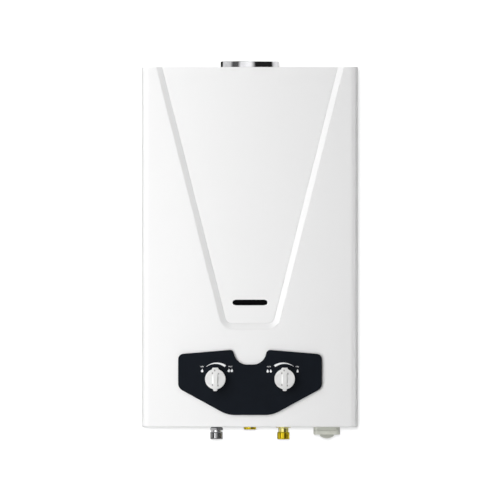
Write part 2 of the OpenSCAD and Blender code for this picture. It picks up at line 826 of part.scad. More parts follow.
module electrode_brackets() {
  y0 = core_y - chamber_d / 2;
  x = electrode_x;
  color(steel)
  difference() {
    union() {
      block([x[0] - 8, y0 - 1.2, electrode_z - 8], [x[1] + 7, y0, electrode_z + 8]);
      block([x[2] - 7, y0 - 1.2, electrode_z - 8], [x[2] + 8, y0, electrode_z + 8]);
    }
    for (e = x) along_y(y0 - 2, y0 + 1, e, electrode_z, 4.1);
  }
}

module electrode_ceramics() {
  y0 = core_y - chamber_d / 2;
  color(ceramic_white)
  for (x = electrode_x)
    difference() {
      union() {
        along_y(y0 - 10, y0 + 10, x, electrode_z, 4);
        along_y(y0 - 4.2, y0 - 1.2, x, electrode_z, 5.2);
      }
      along_y(y0 - 11, y0 + 11, x, electrode_z, 1.25);
    }
}

module electrode_rods() {
  y0 = core_y - chamber_d / 2;
  color(steel)
  for (x = electrode_x)
    swept_round([[x, y0 - 13, electrode_z], [x, y0 + 24, electrode_z], [x, y0 + 24, chamber_z - 1]], 1.2, 3);
}

igniter_z = knob_z + 12;
igniter_h = 62;
igniter_y = -sheet_t - 20;

module ignition_leads() {
  y = core_y - chamber_d / 2 - 13;
  color(lead_red)
  for (k = [0:2])
    swept_round([
      [lead_x[k], igniter_y + 10, igniter_z + igniter_h + 6],
      [lead_x[k], igniter_y + 10, chamber_z - 18 + 5 * k],
      [lead_x[k], y, chamber_z - 18 + 5 * k],
      [electrode_x[k], y, chamber_z - 18 + 5 * k],
      [electrode_x[k], y, electrode_z - 1.25]
    ], lead_r, 6);
}

module igniter_box() {
  x = igniter_x;
  z = igniter_z;
  color(part_black) {
    difference() {
      block([x, igniter_y, z], [x + igniter_w, -sheet_t, z + igniter_h]);
      block([x + 2, igniter_y - 1, z + 4], [x + igniter_w - 2, igniter_y + 1, z + igniter_h - 4]);
    }
    for (k = [0:2]) along_z(z + igniter_h - 1, z + igniter_h + 6, lead_x[k], igniter_y + 10, 2.6);
    block([x - 7, -sheet_t - 3, z + 8], [x + 1, -sheet_t, z + 24]);
  }
}

// Gas valve

chamber_r = 13;
seat_x = gas_end - 28;
spring_end = gas_end - 52;

module gas_valve_body() {
  color(alloy)
  difference() {
    union() {
      block([-valve_x - 26, valve_y - 20, knob_z - 20], [gas_end, valve_y + 20, knob_z + 20]);
      along_y(gas_boss_y, valve_y, -valve_x, knob_z, 16);
    }
    along_y(gas_boss_y - 1, gas_plug_y, -valve_x, knob_z, cock_r + run_fit);
    along_x(spring_end, gas_end + 1, valve_y, knob_z, chamber_r);
    along_x(-valve_x, spring_end + 1, valve_y, knob_z, 5);
    along_x(-valve_x - 27, -valve_x, valve_y, knob_z, 5);
    along_z(knob_z - 21, knob_z, 0, valve_y, 7);
    along_z(knob_z, knob_z + 21, -valve_x, valve_y, 5.8);
  }
}

module gas_valve_cap() {
  color(brass)
  difference() {
    union() {
      along_x(gas_end, gas_end + 3.5, valve_y, knob_z, 18);
      along_x(gas_end - 4, gas_end + 1, valve_y, knob_z, chamber_r - 0.05);
    }
    along_x(gas_end - 5, gas_end + 5, valve_y, knob_z, rod_r + run_fit);
  }
}

module gas_seat() {
  color(brass)
  difference() {
    along_x(seat_x, seat_x + 4, valve_y, knob_z, chamber_r - 0.05);
    along_x(seat_x - 1, seat_x + 5, valve_y, knob_z, 8);
  }
}

// Rod between the diaphragm and the gas valve, with its poppet, collar and thrust plate
module push_rod() {
  color(steel) {
    along_x(seat_x - 8, membrane_x - 2, valve_y, knob_z, rod_r);
    along_x(seat_x - 4.3, seat_x - 0.3, valve_y, knob_z, 11);
    along_x(gas_end + 10, gas_end + 12, valve_y, knob_z, 4);
    along_x(membrane_x - 2.6, membrane_x - 0.6, valve_y, knob_z, 14);
  }
}

// Coil spring behind the poppet
module push_rod_spring() {
  x0 = spring_end + 0.7;
  x1 = seat_x - 4.3;
  turns = 4;
  m = 12;
  r = 7;
  w = 0.6;
  steps = turns * m;
  ring = [for (i = [0:steps], k = [0:5])
    let (a = 360 * i / m, q = 60 * k, rr = r + w * cos(q))
    [x0 + w + (x1 - x0 - 2 * w) * i / steps + w * sin(q), valve_y + rr * cos(a), knob_z + rr * sin(a)]];
  color(steel)
  polyhedron(points = ring, faces = concat(
    [[5, 4, 3, 2, 1, 0]],
    [[for (k = [0:5]) 6 * steps + k]],
    [for (i = [0:steps - 1], k = [0:5])
      [6 * i + k, 6 * i + (k + 1) % 6, 6 * i + 6 + (k + 1) % 6]],
    [for (i = [0:steps - 1], k = [0:5])
      [6 * i + k, 6 * i + 6 + (k + 1) % 6, 6 * i + 6 + k]]));
}

module solenoid_valve() {
  x = -valve_x - 26;
  color(steel) {
    block([x - 3, valve_y - 16, knob_z - 16], [x, valve_y + 16, knob_z + 16]);
    along_x(x - 32, x - 2, valve_y, knob_z, 13);
    for (s = [-1, 1])
      block([x - 40, valve_y + s * 6 - 3, knob_z - 0.4], [x - 31, valve_y + s * 6 + 3, knob_z + 0.4]);
  }
}

pivot_x = gas_end + 9.1;
pivot_z = knob_z + 23;

module microswitch() {
  color(part_black)
  difference() {
    union() {
      block([gas_end - 10, valve_y - 6, knob_z + 20], [gas_end + 14, valve_y + 6, knob_z + 33]);
      for (k = [0:2])
        block([gas_end - 8 + 8 * k, valve_y - 0.3, knob_z + 32], [gas_end - 5 + 8 * k, valve_y + 0.3, knob_z + 39]);
    }
    block([pivot_x - 5, valve_y - 2.8, knob_z + 19], [pivot_x + 4, valve_y + 2.8, knob_z + 27]);
    along_y(valve_y - 5, valve_y + 5, pivot_x, pivot_z, 1 + run_fit);
  }
}

module microswitch_lever() {
  color(steel) {
    along_y(valve_y - 4.5, valve_y + 4.5, pivot_x, pivot_z, 1);
    along_y(valve_y - 2.4, valve_y + 2.4, pivot_x, pivot_z, 1.9);
    block([pivot_x - 0.4, valve_y - 2, knob_z + 2.7], [pivot_x + 0.4, valve_y + 2, pivot_z]);
  }
}

// Water valve

bolt_r = 23;
flange_r = 27.5;
cold_z = 22;

module valve_bolts(x0, x1, r) {
  for (k = [0:5])
    along_x(x0, x1, valve_y + bolt_r * cos(60 * k + 30), knob_z + bolt_r * sin(60 * k + 30), r);
}

module water_valve_body() {
  color(brass)
  difference() {
    union() {
      along_x(membrane_x + 0.5, membrane_x + 7, valve_y, knob_z, flange_r);
      along_x(membrane_x + 6, valve_x + 16, valve_y, knob_z, 19);
      along_y(water_boss_y, valve_y, valve_x, knob_z, 12);
      along_z(cold_z, knob_z, port_pitch, valve_y, 9.5);
      along_z(knob_z, knob_z + 30, valve_x + 4, valve_y, 10);
    }
    along_x(membrane_x - 10, membrane_x + 0.5, valve_y, knob_z, flange_r + 40);
    along_x(membrane_x, membrane_x + 4, valve_y, knob_z, 17);
    along_x(membrane_x + 3, valve_x + 12, valve_y, knob_z, 9);
    along_y(water_boss_y - 1, water_plug_y + 1, valve_x, knob_z, plug_r + run_fit);
    along_z(cold_z - 1, knob_z, port_pitch, valve_y, 7);
    along_z(knob_z, knob_z + 31, valve_x + 4, valve_y, pipe_r - 1);
    valve_bolts(membrane_x, membrane_x + 8, 2.05);
  }
}

module water_valve_cover() {
  color(brass)
  difference() {
    union() {
      along_x(membrane_x - 6.5, membrane_x - 0.5, valve_y, knob_z, flange_r);
      along_x(cover_x, membrane_x - 6, valve_y, knob_z, 19);
    }
    along_x(membrane_x - 6.4, membrane_x, valve_y, knob_z, 17);
    along_x(cover_x - 1, membrane_x, valve_y, knob_z, rod_r + run_fit);
    valve_bolts(membrane_x - 8, membrane_x, 2.05);
  }
}

module diaphragm() {
  color(rubber_black)
  difference() {
    along_x(membrane_x - 0.5, membrane_x + 0.5, valve_y, knob_z, flange_r - 0.5);
    valve_bolts(membrane_x - 2, membrane_x + 2, 2.05);
  }
}

module valve_screws() {
  color(steel) {
    valve_bolts(membrane_x - 9, membrane_x - 6.5, 3.4);
    valve_bolts(membrane_x - 6.6, membrane_x + 7.5, 2);
  }
}

// Connections under the case

module cold_inlet_nipple() {
  neck = thread_r - 2;
  color(brass)
  difference() {
    union() {
      along_z(-port_drop, -port_drop + thread_l, port_pitch, valve_y, thread_r);
      along_z(-port_drop, cold_z - 6, port_pitch, valve_y, neck);
      along_z(-1.6, 0.4, port_pitch, valve_y, thread_r + 2);
      along_z(cold_z - 6, cold_z, port_pitch, valve_y, 9.5);
    }
    along_z(-port_drop - 1, cold_z + 1, port_pitch, valve_y, 6.5);
  }
}

// Strainer cup inside the cold connection
module inlet_strainer() {
  color(bright_metal)
  difference() {
    along_z(-port_drop + 1, -port_drop + 15, port_pitch, valve_y, 6.4);
    along_z(-port_drop, -port_drop + 14, port_pitch, valve_y, 5.6);
    for (a = [0:30:330])
      along_z(-port_drop + 13, -port_drop + 16, port_pitch + 3.8 * cos(a), valve_y + 3.8 * sin(a), 0.7);
  }
}

module gas_inlet_nipple() {
  color(brass)
  difference() {
    union() {
      along_z(-5, -5 + thread_l, 0, valve_y, thread_r);
      along_z(-5, knob_z - 25, 0, valve_y, thread_r - 2);
      along_z(knob_z - 26, knob_z - 20, 0, valve_y, 14);
    }
    along_z(-6, knob_z - 19, 0, valve_y, 6.5);
  }
}

module hot_outlet_nipple() {
  neck = thread_r - 1.9;
  color(bright_metal)
  difference() {
    union() {
      along_z(-port_drop + 0.3, -port_drop + 0.3 + thread_l, -port_pitch, valve_y, thread_r);
      along_z(-port_drop + 0.3, 22, -port_pitch, valve_y, neck);
    }
    along_z(-port_drop - 1, 23, -port_pitch, valve_y, 6);
  }
}

// Hexagon nut with a corner to the front and its lower corners turned off
module hot_outlet_nut() {
  low = -port_drop + thread_l + 2;
  hex_r = thread_r + 1.6;
  color(bright_metal)
  translate([-port_pitch, valve_y, 0])
  difference() {
    intersection() {
      translate([0, 0, low]) rotate([0, 0, 30]) cylinder(r = hex_r, h = 14, $fn = 6);
      translate([0, 0, low]) cylinder(r1 = hex_r - 1.4, r2 = hex_r + 22.85, h = 14);
    }
    along_z(-port_drop, 30, 0, 0, thread_r - 1.8);
  }
}

module hot_pipe() {
  color(copper)
  pipe([
    [-tube_x - 0.1, tube_ys[4], tube_z],
    [hot_x, tube_ys[4], tube_z],
    [hot_x, tube_ys[4], hot_run_z],
    [hot_x, valve_y, hot_run_z],
    [-port_pitch, valve_y, hot_run_z],
    [-port_pitch, valve_y, 22.1]
  ], pipe_r, pipe_wall, bend_r);
}

module cold_pipe() {
  color(copper)
  pipe([
    [valve_x + 4, valve_y, knob_z + 30],
    [valve_x + 4, valve_y, knob_z + 44],
    [coil_x, valve_y, knob_z + 44],
    [coil_x, valve_y, coil_z - 22.1]
  ], pipe_r, pipe_wall, 13);
}

module overheat_thermostat() {
  z = chamber_z + 100;
  x = hot_x;
  y = tube_ys[4];
  color(part_black)
  difference() {
    union() {
      block([x - 8, y + 2, z - 11], [x + 8, y + pipe_r + 4, z + 11]);
      along_y(y + pipe_r + 3, y + pipe_r + 10, x, z, 7.5);
    }
    along_z(z - 12, z + 12, x, y, pipe_r + 0.05);
  }
}

// Rectangular spacer between the back plate and a piece in front of it
module spacer(x, w, y0, z0, h) {
  difference() {
    block([x - w / 2, y0, z0], [x + w / 2, -sheet_t, z0 + h]);
    block([x - w / 2 + 2, y0 + 2, z0 - 1], [x + w / 2 - 2, -sheet_t - 2, z0 + h + 1]);
  }
}

module core_brackets() {
  rear = core_y + chamber_d / 2;
  color(galvanised) {
    for (s = [-1, 1]) {
      spacer(s * 70, 40, rear, tube_z - 10, 20);
      spacer(s * 70, 40, rear, burner_z + 15, 20);
    }
    spacer(-valve_x + 28, 30, valve_y + 20, knob_z - 10, 20);
  }
}

// Battery box

// Plan outline of the battery box, inset by i, with larger corners in front
function battery_outline(i) =
  let (
    w = battery_w / 2 - i,
    y0 = core_y - battery_d / 2 + i,
    y1 = core_y + battery_d / 2 - i
  )
  rounded([[battery_x - w, y0], [battery_x + w, y0], [battery_x + w, y1], [battery_x - w, y1]],
    [7 - i, 7 - i, 2.5 - i, 2.5 - i], 6);

module battery_box() {
  x = battery_x;
  y1 = core_y + battery_d / 2;
  color(box_grey)
  difference() {
    union() {
      translate([0, 0, -battery_drop + 7.5])
        linear_extrude(floor_z + battery_drop - 7.5)
        polygon(battery_outline(0));
      block([x - bay_w / 2 - 2, core_y - bay_d / 2 - 2, floor_z - 0.5],
        [x + bay_w / 2 + 2, core_y + bay_d / 2 + 2, bay_top + 2]);
      for (s = [-1, 1]) {
        block([x + s * 14 - 4, y1 - 1, -battery_drop + 7.5], [x + s * 14 + 4, y1 + 1, -0.5]);
        block([x + s * 14 - 4, y1 + 0.5, hinge_z], [x + s * 14 + 4, hinge_y + 2.8, -0.5]);
        along_x(x + s * 14 - 4, x + s * 14 + 4, hinge_y, hinge_z, 2.8);
      }
    }
    block([x - bay_w / 2, core_y - bay_d / 2, -battery_drop], [x + bay_w / 2, core_y + bay_d / 2, bay_top]);
    along_x(x - 19, x + 19, hinge_y, hinge_z, hinge_r + run_fit);
  }
}

module battery_cover() {
  x = battery_x;
  y0 = core_y - battery_d / 2;
  y1 = core_y + battery_d / 2;
  low = -battery_drop;
  color(box_grey)
  difference() {
    union() {
      translate([0, 0, low]) linear_extrude(7.2) polygon(battery_outline(0));
      intersection() {
        along_y(y0 + 1, y0 + 9, x, low + 11.6, 17.8);
        block([x - 20, y0, low - 8], [x + 20, y0 + 10, low + 0.5]);
      }
      block([x - 9.5, y1 - 1, hinge_z - 2.8], [x + 9.5, hinge_y, hinge_z]);
      along_x(x - 9.5, x + 9.5, hinge_y, hinge_z, 2.8);
    }
    translate([0, 0, low + 3.5]) linear_extrude(6) polygon(battery_outline(2));
    along_x(x - 10, x + 10, hinge_y, hinge_z, hinge_r + run_fit + 0.02);
  }
}

module battery_hinge_pin() {
  color(steel) along_x(battery_x - 18, battery_x + 18, hinge_y, hinge_z, hinge_r);
}

module battery_contacts() {
  color(bright_metal)
  for (s = [-1, 1]) {
    along_z(bay_top - 0.8, bay_top, battery_x, core_y + s * bay_d / 4, 9);
    along_z(bay_top - 3, bay_top - 0.5, battery_x, core_y + s * bay_d / 4, 4);
  }
}

module battery_bridge() {
  low = -battery_drop + 3.5;
  color(bright_metal)
  block([battery_x - 8, core_y - bay_d / 2 + 6, low], [battery_x + 8, core_y + bay_d / 2 - 6, low + 0.6]);
}

// Moves a piece from the lower edge of the case to the centre of the wall face
module at_wall_centre() {
  translate([0, 0, -case_h / 2]) children();
}

at_wall_centre() front_cover();
at_wall_centre() back_plate();
at_wall_centre() top_plate();
at_wall_centre() bottom_plate();
at_wall_centre() cover_screws();
at_wall_centre() sight_glass();
at_wall_centre() sight_frame();
at_wall_centre() control_fascia();
at_wall_centre() gas_knob();
at_wall_centre() water_knob();
at_wall_centre() gas_spindle();
at_wall_centre() water_spindle();
at_wall_centre() gas_gland_nut();
at_wall_centre() water_gland_nut();
at_wall_centre() flue_collar();
at_wall_centre() draught_hood();
at_wall_centre() draught_baffle();
at_wall_centre() combustion_chamber();
at_wall_centre() chamber_coil();
at_wall_centre() exchanger_fins();
at_wall_centre() exchanger_tubes();
at_wall_centre() chamber_mica();
at_wall_centre() burner_bars();
at_wall_centre() burner_tray();
at_wall_centre() gas_manifold();
at_wall_centre() injectors();
at_wall_centre() gas_riser();
at_wall_centre() electrode_brackets();
at_wall_centre() electrode_ceramics();
at_wall_centre() electrode_rods();
at_wall_centre() ignition_leads();
at_wall_centre() igniter_box();
at_wall_centre() gas_valve_body();
at_wall_centre() gas_valve_cap();
at_wall_centre() gas_seat();
at_wall_centre() push_rod();
at_wall_centre() push_rod_spring();
at_wall_centre() solenoid_valve();
at_wall_centre() microswitch();
at_wall_centre() microswitch_lever();
at_wall_centre() water_valve_body();
at_wall_centre() water_valve_cover();
at_wall_centre() diaphragm();
at_wall_centre() valve_screws();
at_wall_centre() cold_inlet_nipple();
at_wall_centre() inlet_strainer();
at_wall_centre() gas_inlet_nipple();
at_wall_centre() hot_outlet_nipple();
at_wall_centre() hot_outlet_nut();
at_wall_centre() hot_pipe();
at_wall_centre() cold_pipe();
at_wall_centre() overheat_thermostat();
at_wall_centre() core_brackets();
at_wall_centre() battery_box();
at_wall_centre() battery_cover();
at_wall_centre() battery_hinge_pin();
at_wall_centre() battery_contacts();
at_wall_centre() battery_bridge();
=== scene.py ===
"""Looks of a wall-hung gas water heater: enamelled cover, control fascia, knobs, fittings and stage.

Lengths are in metres. The wall is the plane y = 0, the front faces -Y, and the origin is the
middle of the back plate's wall face.
"""

import math

import bmesh
import bpy
import numpy as np
from bpy.props import FloatProperty, FloatVectorProperty, PointerProperty
from mathutils import Matrix, Vector


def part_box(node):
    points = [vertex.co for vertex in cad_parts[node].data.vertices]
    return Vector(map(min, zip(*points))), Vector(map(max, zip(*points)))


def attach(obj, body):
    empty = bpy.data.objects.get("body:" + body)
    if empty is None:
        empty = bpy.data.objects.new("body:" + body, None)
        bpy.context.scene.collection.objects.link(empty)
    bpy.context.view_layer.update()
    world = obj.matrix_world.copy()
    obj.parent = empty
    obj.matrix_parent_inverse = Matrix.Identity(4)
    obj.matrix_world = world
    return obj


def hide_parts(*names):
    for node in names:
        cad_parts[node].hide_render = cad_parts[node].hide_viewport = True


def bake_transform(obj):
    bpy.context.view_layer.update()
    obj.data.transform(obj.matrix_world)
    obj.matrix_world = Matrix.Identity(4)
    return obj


bl_info = {
    "name": "Gas water heater",
    "version": (1, 0, 0),
    "blender": (4, 5, 0),
    "location": "View3D > Sidebar > Heater",
    "description": "Dresses the packed model of a gas water heater",
    "category": "Object",
}

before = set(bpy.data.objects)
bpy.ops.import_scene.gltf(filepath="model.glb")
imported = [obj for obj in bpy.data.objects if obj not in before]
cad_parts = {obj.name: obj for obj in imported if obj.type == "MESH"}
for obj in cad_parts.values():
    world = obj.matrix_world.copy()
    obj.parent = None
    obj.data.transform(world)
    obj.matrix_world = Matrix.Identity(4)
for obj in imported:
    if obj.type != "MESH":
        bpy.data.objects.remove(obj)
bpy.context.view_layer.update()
COVER_LOW, COVER_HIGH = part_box("front_cover")
FASCIA_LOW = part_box("control_fascia")[0]
COLLAR_LOW, COLLAR_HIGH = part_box("flue_collar")
MM = 0.001
MERGE_DISTANCE = 0.002 * MM
BODY = "heater"


def length(name, description, default):
    return FloatProperty(name=name, description=description, default=default, unit="LENGTH", precision=5)


def colour(name, description, default):
    return FloatVectorProperty(name=name, description=description, default=default, subtype="COLOR",
                               size=3, min=0.0, max=1.0)


class HeaterSizes(bpy.types.PropertyGroup):
    """Sizes of the dressed pieces."""

    case_width: length("Case width", "Width over both side panels", COVER_HIGH.x - COVER_LOW.x)
    case_height: length("Case height", "Height of the front cover", COVER_HIGH.z - COVER_LOW.z)
    case_depth: length("Case depth", "Distance of the front face from the wall", -COVER_LOW.y)
    edge_radius: length("Edge radius", "Radius of the two rounded front edges", 12 * MM)
    lip_radius: length("Lip radius", "Radius of the turned-in lower edge", 2 * MM)
    sheet: length("Sheet", "Thickness of the cover's sheet", 1 * MM)
    recess_depth: length("Recess depth", "Depth of the V-shaped recess", 5 * MM)
    recess_border: length("Recess border", "Width of the sloping border of the recess", 10.2 * MM)
    recess_low: length("Recess low width", "Width of the recess floor at its lower edge", 77 * MM)
    recess_side: length("Recess side", "Distance of the recess floor from the side at the top", 33.5 * MM)
    recess_rise: length("Recess rise", "Height of the recess floor's lower edge", 172.7 * MM)
    recess_corner: length("Recess corner", "Corner radius of the recess floor", 12.5 * MM)
    crease: length("Crease", "Depth of the pressed crease on both sides of the border", 0.7 * MM)
    slot_width: length("Slot width", "Width of the sight slot", 58.4 * MM)
    slot_height: length("Slot height", "Height of the sight slot", 9.4 * MM)
    slot_rise: length("Slot rise", "Height of the middle of the sight slot", 207.5 * MM)
    knob_rise: length("Knob rise", "Height of the knob axes", 80 * MM)
    knob_pitch: length("Knob pitch", "Distance between the knob axes", 115.6 * MM)
    knob_radius: length("Knob radius", "Radius of the knob drum", 17 * MM)
    knob_height: length("Knob height", "Height of the knob over its base", 17 * MM)
    knob_grip: length("Knob grip", "Width of the grip bar between the two hollows", 8.6 * MM)
    knob_hollow: length("Knob hollow", "Depth of the hollows beside the grip bar", 2.6 * MM)
    scale_radius: length("Scale radius", "Inner radius of the printed scales", 25.3 * MM)
    print_height: length("Print height", "Thickness of the printed marks", 0.04 * MM)
    thread_pitch: length("Thread pitch", "Pitch of the pipe threads", 1.814 * MM)
    thread_radius: length("Thread radius", "Outside radius of the pipe threads", 10.4775 * MM)
    thread_length: length("Thread length", "Length of the pipe threads", 12 * MM)
    lens: FloatProperty(name="Lens", description="Focal length in millimetres", default=1200.0, min=1.0)
    view_width: length("View width", "Width of the picture at the front face", 833.3 * MM)
    view_rise: length("View rise", "Height of the picture's middle above the lower edge", 295 * MM)


class HeaterColours(bpy.types.PropertyGroup):
    """Base colours of the finishes."""

    enamel: colour("Enamel", "White stoved enamel", (0.865, 0.865, 0.865))
    fascia: colour("Fascia", "Dark moulded fascia", (0.0062, 0.0082, 0.0120))
    knob: colour("Knob", "Knob plastic", (0.735, 0.735, 0.73))
    # Colour of the painted shade at the ends of the knob hollows, and of the dark pointer mark
    knob_shade_and_pointer: colour("Knob shade and pointer", "Painted shade at the ends of the knob hollows, and the pointer mark", (0.11, 0.11, 0.11))
    ink: colour("Ink", "White printing ink", (0.84, 0.85, 0.86))
    galvanised: colour("Galvanised sheet", "Zinc coat of the sheet pieces", (0.56, 0.58, 0.60))
    steel: colour("Steel", "Plain steel", (0.46, 0.46, 0.47))
    brass: colour("Brass", "Brass fittings", (0.97, 0.76, 0.035))
    pale_brass: colour("Pale brass", "Polished neck of the brass fittings", (0.97, 0.89, 0.38))
    plate: colour("Bright plate", "Bright plated metal", (0.88, 0.88, 0.90))
    copper: colour("Copper", "Bright copper", (0.78, 0.40, 0.25))
    tarnish: colour("Tarnish", "Tarnished copper", (0.36, 0.15, 0.09))
    glass: colour("Sight glass", "Dark sight glass", (0.0016, 0.0016, 0.0017))
    mica: colour("Mica", "Mica pane", (0.62, 0.52, 0.32))
    alloy: colour("Cast alloy", "Die-cast alloy", (0.55, 0.56, 0.57))
    rubber: colour("Rubber", "Diaphragm rubber", (0.012, 0.012, 0.013))
    ceramic: colour("Ceramic", "Glazed ceramic", (0.82, 0.79, 0.72))
    black: colour("Black plastic", "Black moulded plastic", (0.018, 0.018, 0.019))
    sheath: colour("Lead sheath", "Silicone sheath of the leads", (0.40, 0.025, 0.015))
    grey: colour("Grey plastic", "Battery box plastic", (0.76, 0.77, 0.68))
    floor: colour("Floor", "Pale studio floor", (0.82, 0.82, 0.82))


# Shapes

def join(*coordinates):
    """Points from their coordinates, each stretched to the shape of the whole."""
    return np.stack(np.broadcast_arrays(*coordinates), -1)


def surface(points, wrap_u=False, wrap_v=False):
    """Quads of a grid of points: each cell (i, j) joins its neighbours i + 1 and j + 1, and a wrapped
    parameter joins its last row to its first."""
    nu, nv = points.shape[:2]
    i, j = np.arange(nu if wrap_u else nu - 1)[:, None], np.arange(nv if wrap_v else nv - 1)
    i1, j1 = (i + 1) % nu, (j + 1) % nv
    quads = join(i * nv + j, i1 * nv + j, i1 * nv + j1, i * nv + j1).reshape(-1, 4)
    return points.reshape(-1, 3), quads


def rounded_outline(points, radii, steps=8):
    """Closed polygon whose corners are arcs: each arc's centre lies on the bisector of its corner at
    radius / sin(half angle), and the arc turns from one side's touching point to the other's."""
    p, r = np.asarray(points, float), np.asarray(radii, float)
    u, v = np.roll(p, 1, 0) - p, np.roll(p, -1, 0) - p
    u, v = u / np.linalg.norm(u, axis=1)[:, None], v / np.linalg.norm(v, axis=1)[:, None]
    half = np.arccos(np.clip((u * v).sum(1), -1, 1)) / 2
    middle = u + v
    centre = p + middle / np.linalg.norm(middle, axis=1)[:, None] * (r / np.sin(half))[:, None]
    start = p + u * (r / np.tan(half))[:, None] - centre
    end = p + v * (r / np.tan(half))[:, None] - centre
    turn = np.arctan2(start[:, 0] * end[:, 1] - start[:, 1] * end[:, 0], (start * end).sum(1))
    angle = np.arctan2(start[:, 1], start[:, 0])[:, None] + turn[:, None] * np.linspace(0, 1, steps + 1)
    arcs = centre[:, None] + r[:, None, None] * join(np.cos(angle), np.sin(angle))
    return arcs.reshape(-1, 2)


def inset(outline, amount):
    """Closed outline moved inwards along its normals, which are the tangents of central differences
    turned by a right angle."""
    loop = outline[np.linalg.norm(outline - np.roll(outline, 1, 0), axis=1) > 1e-9]
    tangent = np.roll(loop, -1, 0) - np.roll(loop, 1, 0)
    normal = join(tangent[:, 1], -tangent[:, 0]) / np.linalg.norm(tangent, axis=1)[:, None]
    area = (loop[:, 0] * np.roll(loop[:, 1], -1) - loop[:, 1] * np.roll(loop[:, 0], -1)).sum()
    return loop - np.sign(area) * normal * amount


def around_hole(border, centre, hole, rows=5):
    """Flat ring between a border loop and a hole: each border point is joined to the point where its ray
    from the centre leaves the hole, and the rows divide that line. hole(c, s) gives that distance."""
    ray = border - centre
    ray = ray / np.linalg.norm(ray, axis=1)[:, None]
    rim = centre + ray * hole(ray[:, 0], ray[:, 1])[:, None]
    t = np.linspace(0, 1, rows)[:, None, None]
    return rim * (1 - t) + border * t


def stadium_reach(half_length, radius):
    """Distance from the middle of a slot with round ends to its edge along the direction (c, s): the flat
    sides at radius / |s|, or the end circle at half_length."""
    def reach(c, s):
        flat = radius / np.maximum(np.abs(s), 1e-9)
        along = half_length * np.abs(c)
        end = along + np.sqrt(np.maximum(radius ** 2 - (half_length * s) ** 2, 0))
        return np.where(flat * np.abs(c) <= half_length, flat, end)
    return reach


def round_reach(radius):
    """Distance from the middle of a round hole to its edge, the same along every direction."""
    return lambda c, s: np.full(len(c), radius)


def lathe(radius, height, centre, steps, closed=False):
    """Surface of revolution about a vertical axis: radius and height may also depend on the angle, as one
    row for each step."""
    angle = np.linspace(0, 2 * np.pi, steps, endpoint=False)[:, None]
    points = join(centre[0] + radius * np.cos(angle), centre[1] + radius * np.sin(angle), height)
    return surface(points, True, closed)


def on_front(flat, y):
    """Points of an X-Z outline or grid at depth y, which may be one value or one for each point."""
    return join(flat[..., 0], y, flat[..., 1])


def disc_cap(ring):
    """Flat face over one ring of points."""
    return ring.reshape(-1, 3), np.arange(len(ring))[None, :]


def capped(rings):
    """Closed body: the surface over a row of rings, with a flat face over its first and its last."""
    return [surface(rings, wrap_v=True), disc_cap(rings[0]), disc_cap(rings[-1][::-1])]


def sharpen_rims(mesh):
    """Marks the open edges of a sheet, those used by one face only, as sharp."""
    used = np.empty(len(mesh.loops), np.int32)
    mesh.loops.foreach_get("edge_index", used)
    mark = mesh.attributes.get("sharp_edge") or mesh.attributes.new("sharp_edge", "BOOLEAN", "EDGE")
    sharp = np.empty(len(mesh.edges), bool)
    mark.data.foreach_get("value", sharp)
    mark.data.foreach_set("value", sharp | (np.bincount(used, minlength=len(mesh.edges)) == 1))


def place_piece(name, mesh, body, replaces=()):
    """Puts a mesh into the scene on its body, if it rides on only one and the nodes that it
    replaces."""
    piece = bpy.data.objects.new(name, mesh)
    bpy.context.scene.collection.objects.link(piece)
    if body:
        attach(piece, body)
    if replaces:
        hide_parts(*replaces)
    return piece


def make_piece(name, patches, look, body=BODY, replaces=(), outward=None, sharp=32.0):
    """Joins patches of points and faces into one mesh, merges their shared edges, points the faces outwards, and
    gives the piece its finish. Heights of the patches run from the case's lower edge."""
    points, faces, start = [], [], 0
    for patch_points, patch_faces in patches:
        points.append(patch_points)
        faces.extend((patch_faces + start).tolist())
        start += len(patch_points)
    mesh = bpy.data.meshes.new(name)
    mesh.from_pydata((np.concatenate(points) + [0, 0, COVER_LOW.z]).tolist(), [], faces)
    work = bmesh.new()
    work.from_mesh(mesh)
    bmesh.ops.remove_doubles(work, verts=work.verts, dist=MERGE_DISTANCE)
    bmesh.ops.recalc_face_normals(work, faces=work.faces)
    if outward is not None:
        work.faces.ensure_lookup_table()
        largest = max(work.faces, key=lambda face: face.calc_area())
        if largest.normal.dot(outward) < 0:
            bmesh.ops.reverse_faces(work, faces=work.faces)
    work.to_mesh(mesh)
    work.free()
    mesh.polygons.foreach_set("use_smooth", np.ones(len(mesh.polygons), bool))
    mesh.set_sharp_from_angle(angle=math.radians(sharp))
    sharpen_rims(mesh)
    mesh.materials.append(finish(look))
    return place_piece(name, mesh, body, replaces)


def vertex_places(mesh):
    place = np.empty(len(mesh.vertices) * 3)
    mesh.vertices.foreach_get("co", place)
    return place.reshape(-1, 3)


def set_share(mesh, name, share):
    """Keeps one share for each vertex, which a finish mixes a second colour by."""
    mesh.attributes.new(name, "FLOAT", "POINT").data.foreach_set("value", share)


# Finishes

def wire(tree, node, values):
    """Links the sockets that are given another node's output, and sets the others to their values."""
    for name, value in values.items():
        if isinstance(value, bpy.types.NodeSocket):
            tree.links.new(value, node.inputs[name])
        else:
            node.inputs[name].default_value = value


def add_node(tree, kind, output, values=None, **settings):
    """Adds a node with its settings, wires its inputs, and gives one of its outputs."""
    node = tree.nodes.new("ShaderNode" + kind)
    for name, value in settings.items():
        setattr(node, name, value)
    wire(tree, node, values or {})
    return node.outputs[output]


def start_finish(name, metallic=0.0, roughness=0.5, gloss=0.5):
    material = bpy.data.materials.new("look_" + name)
    material.use_nodes = True
    tree = material.node_tree
    shader = tree.nodes["Principled BSDF"]
    wire(tree, shader, {"Metallic": metallic, "Roughness": roughness, "Specular IOR Level": gloss})
    return material, tree, shader, add_node(tree, "TexCoord", "Object")


def stretched(tree, place, scale):
    return add_node(tree, "Mapping", "Vector", {"Vector": place, "Scale": scale})


def noise(tree, place, scale, detail=3.0, rough=0.5, warp=0.0):
    return add_node(tree, "TexNoise", "Fac", {"Vector": place, "Scale": scale, "Detail": detail,
                                              "Roughness": rough, "Distortion": warp})


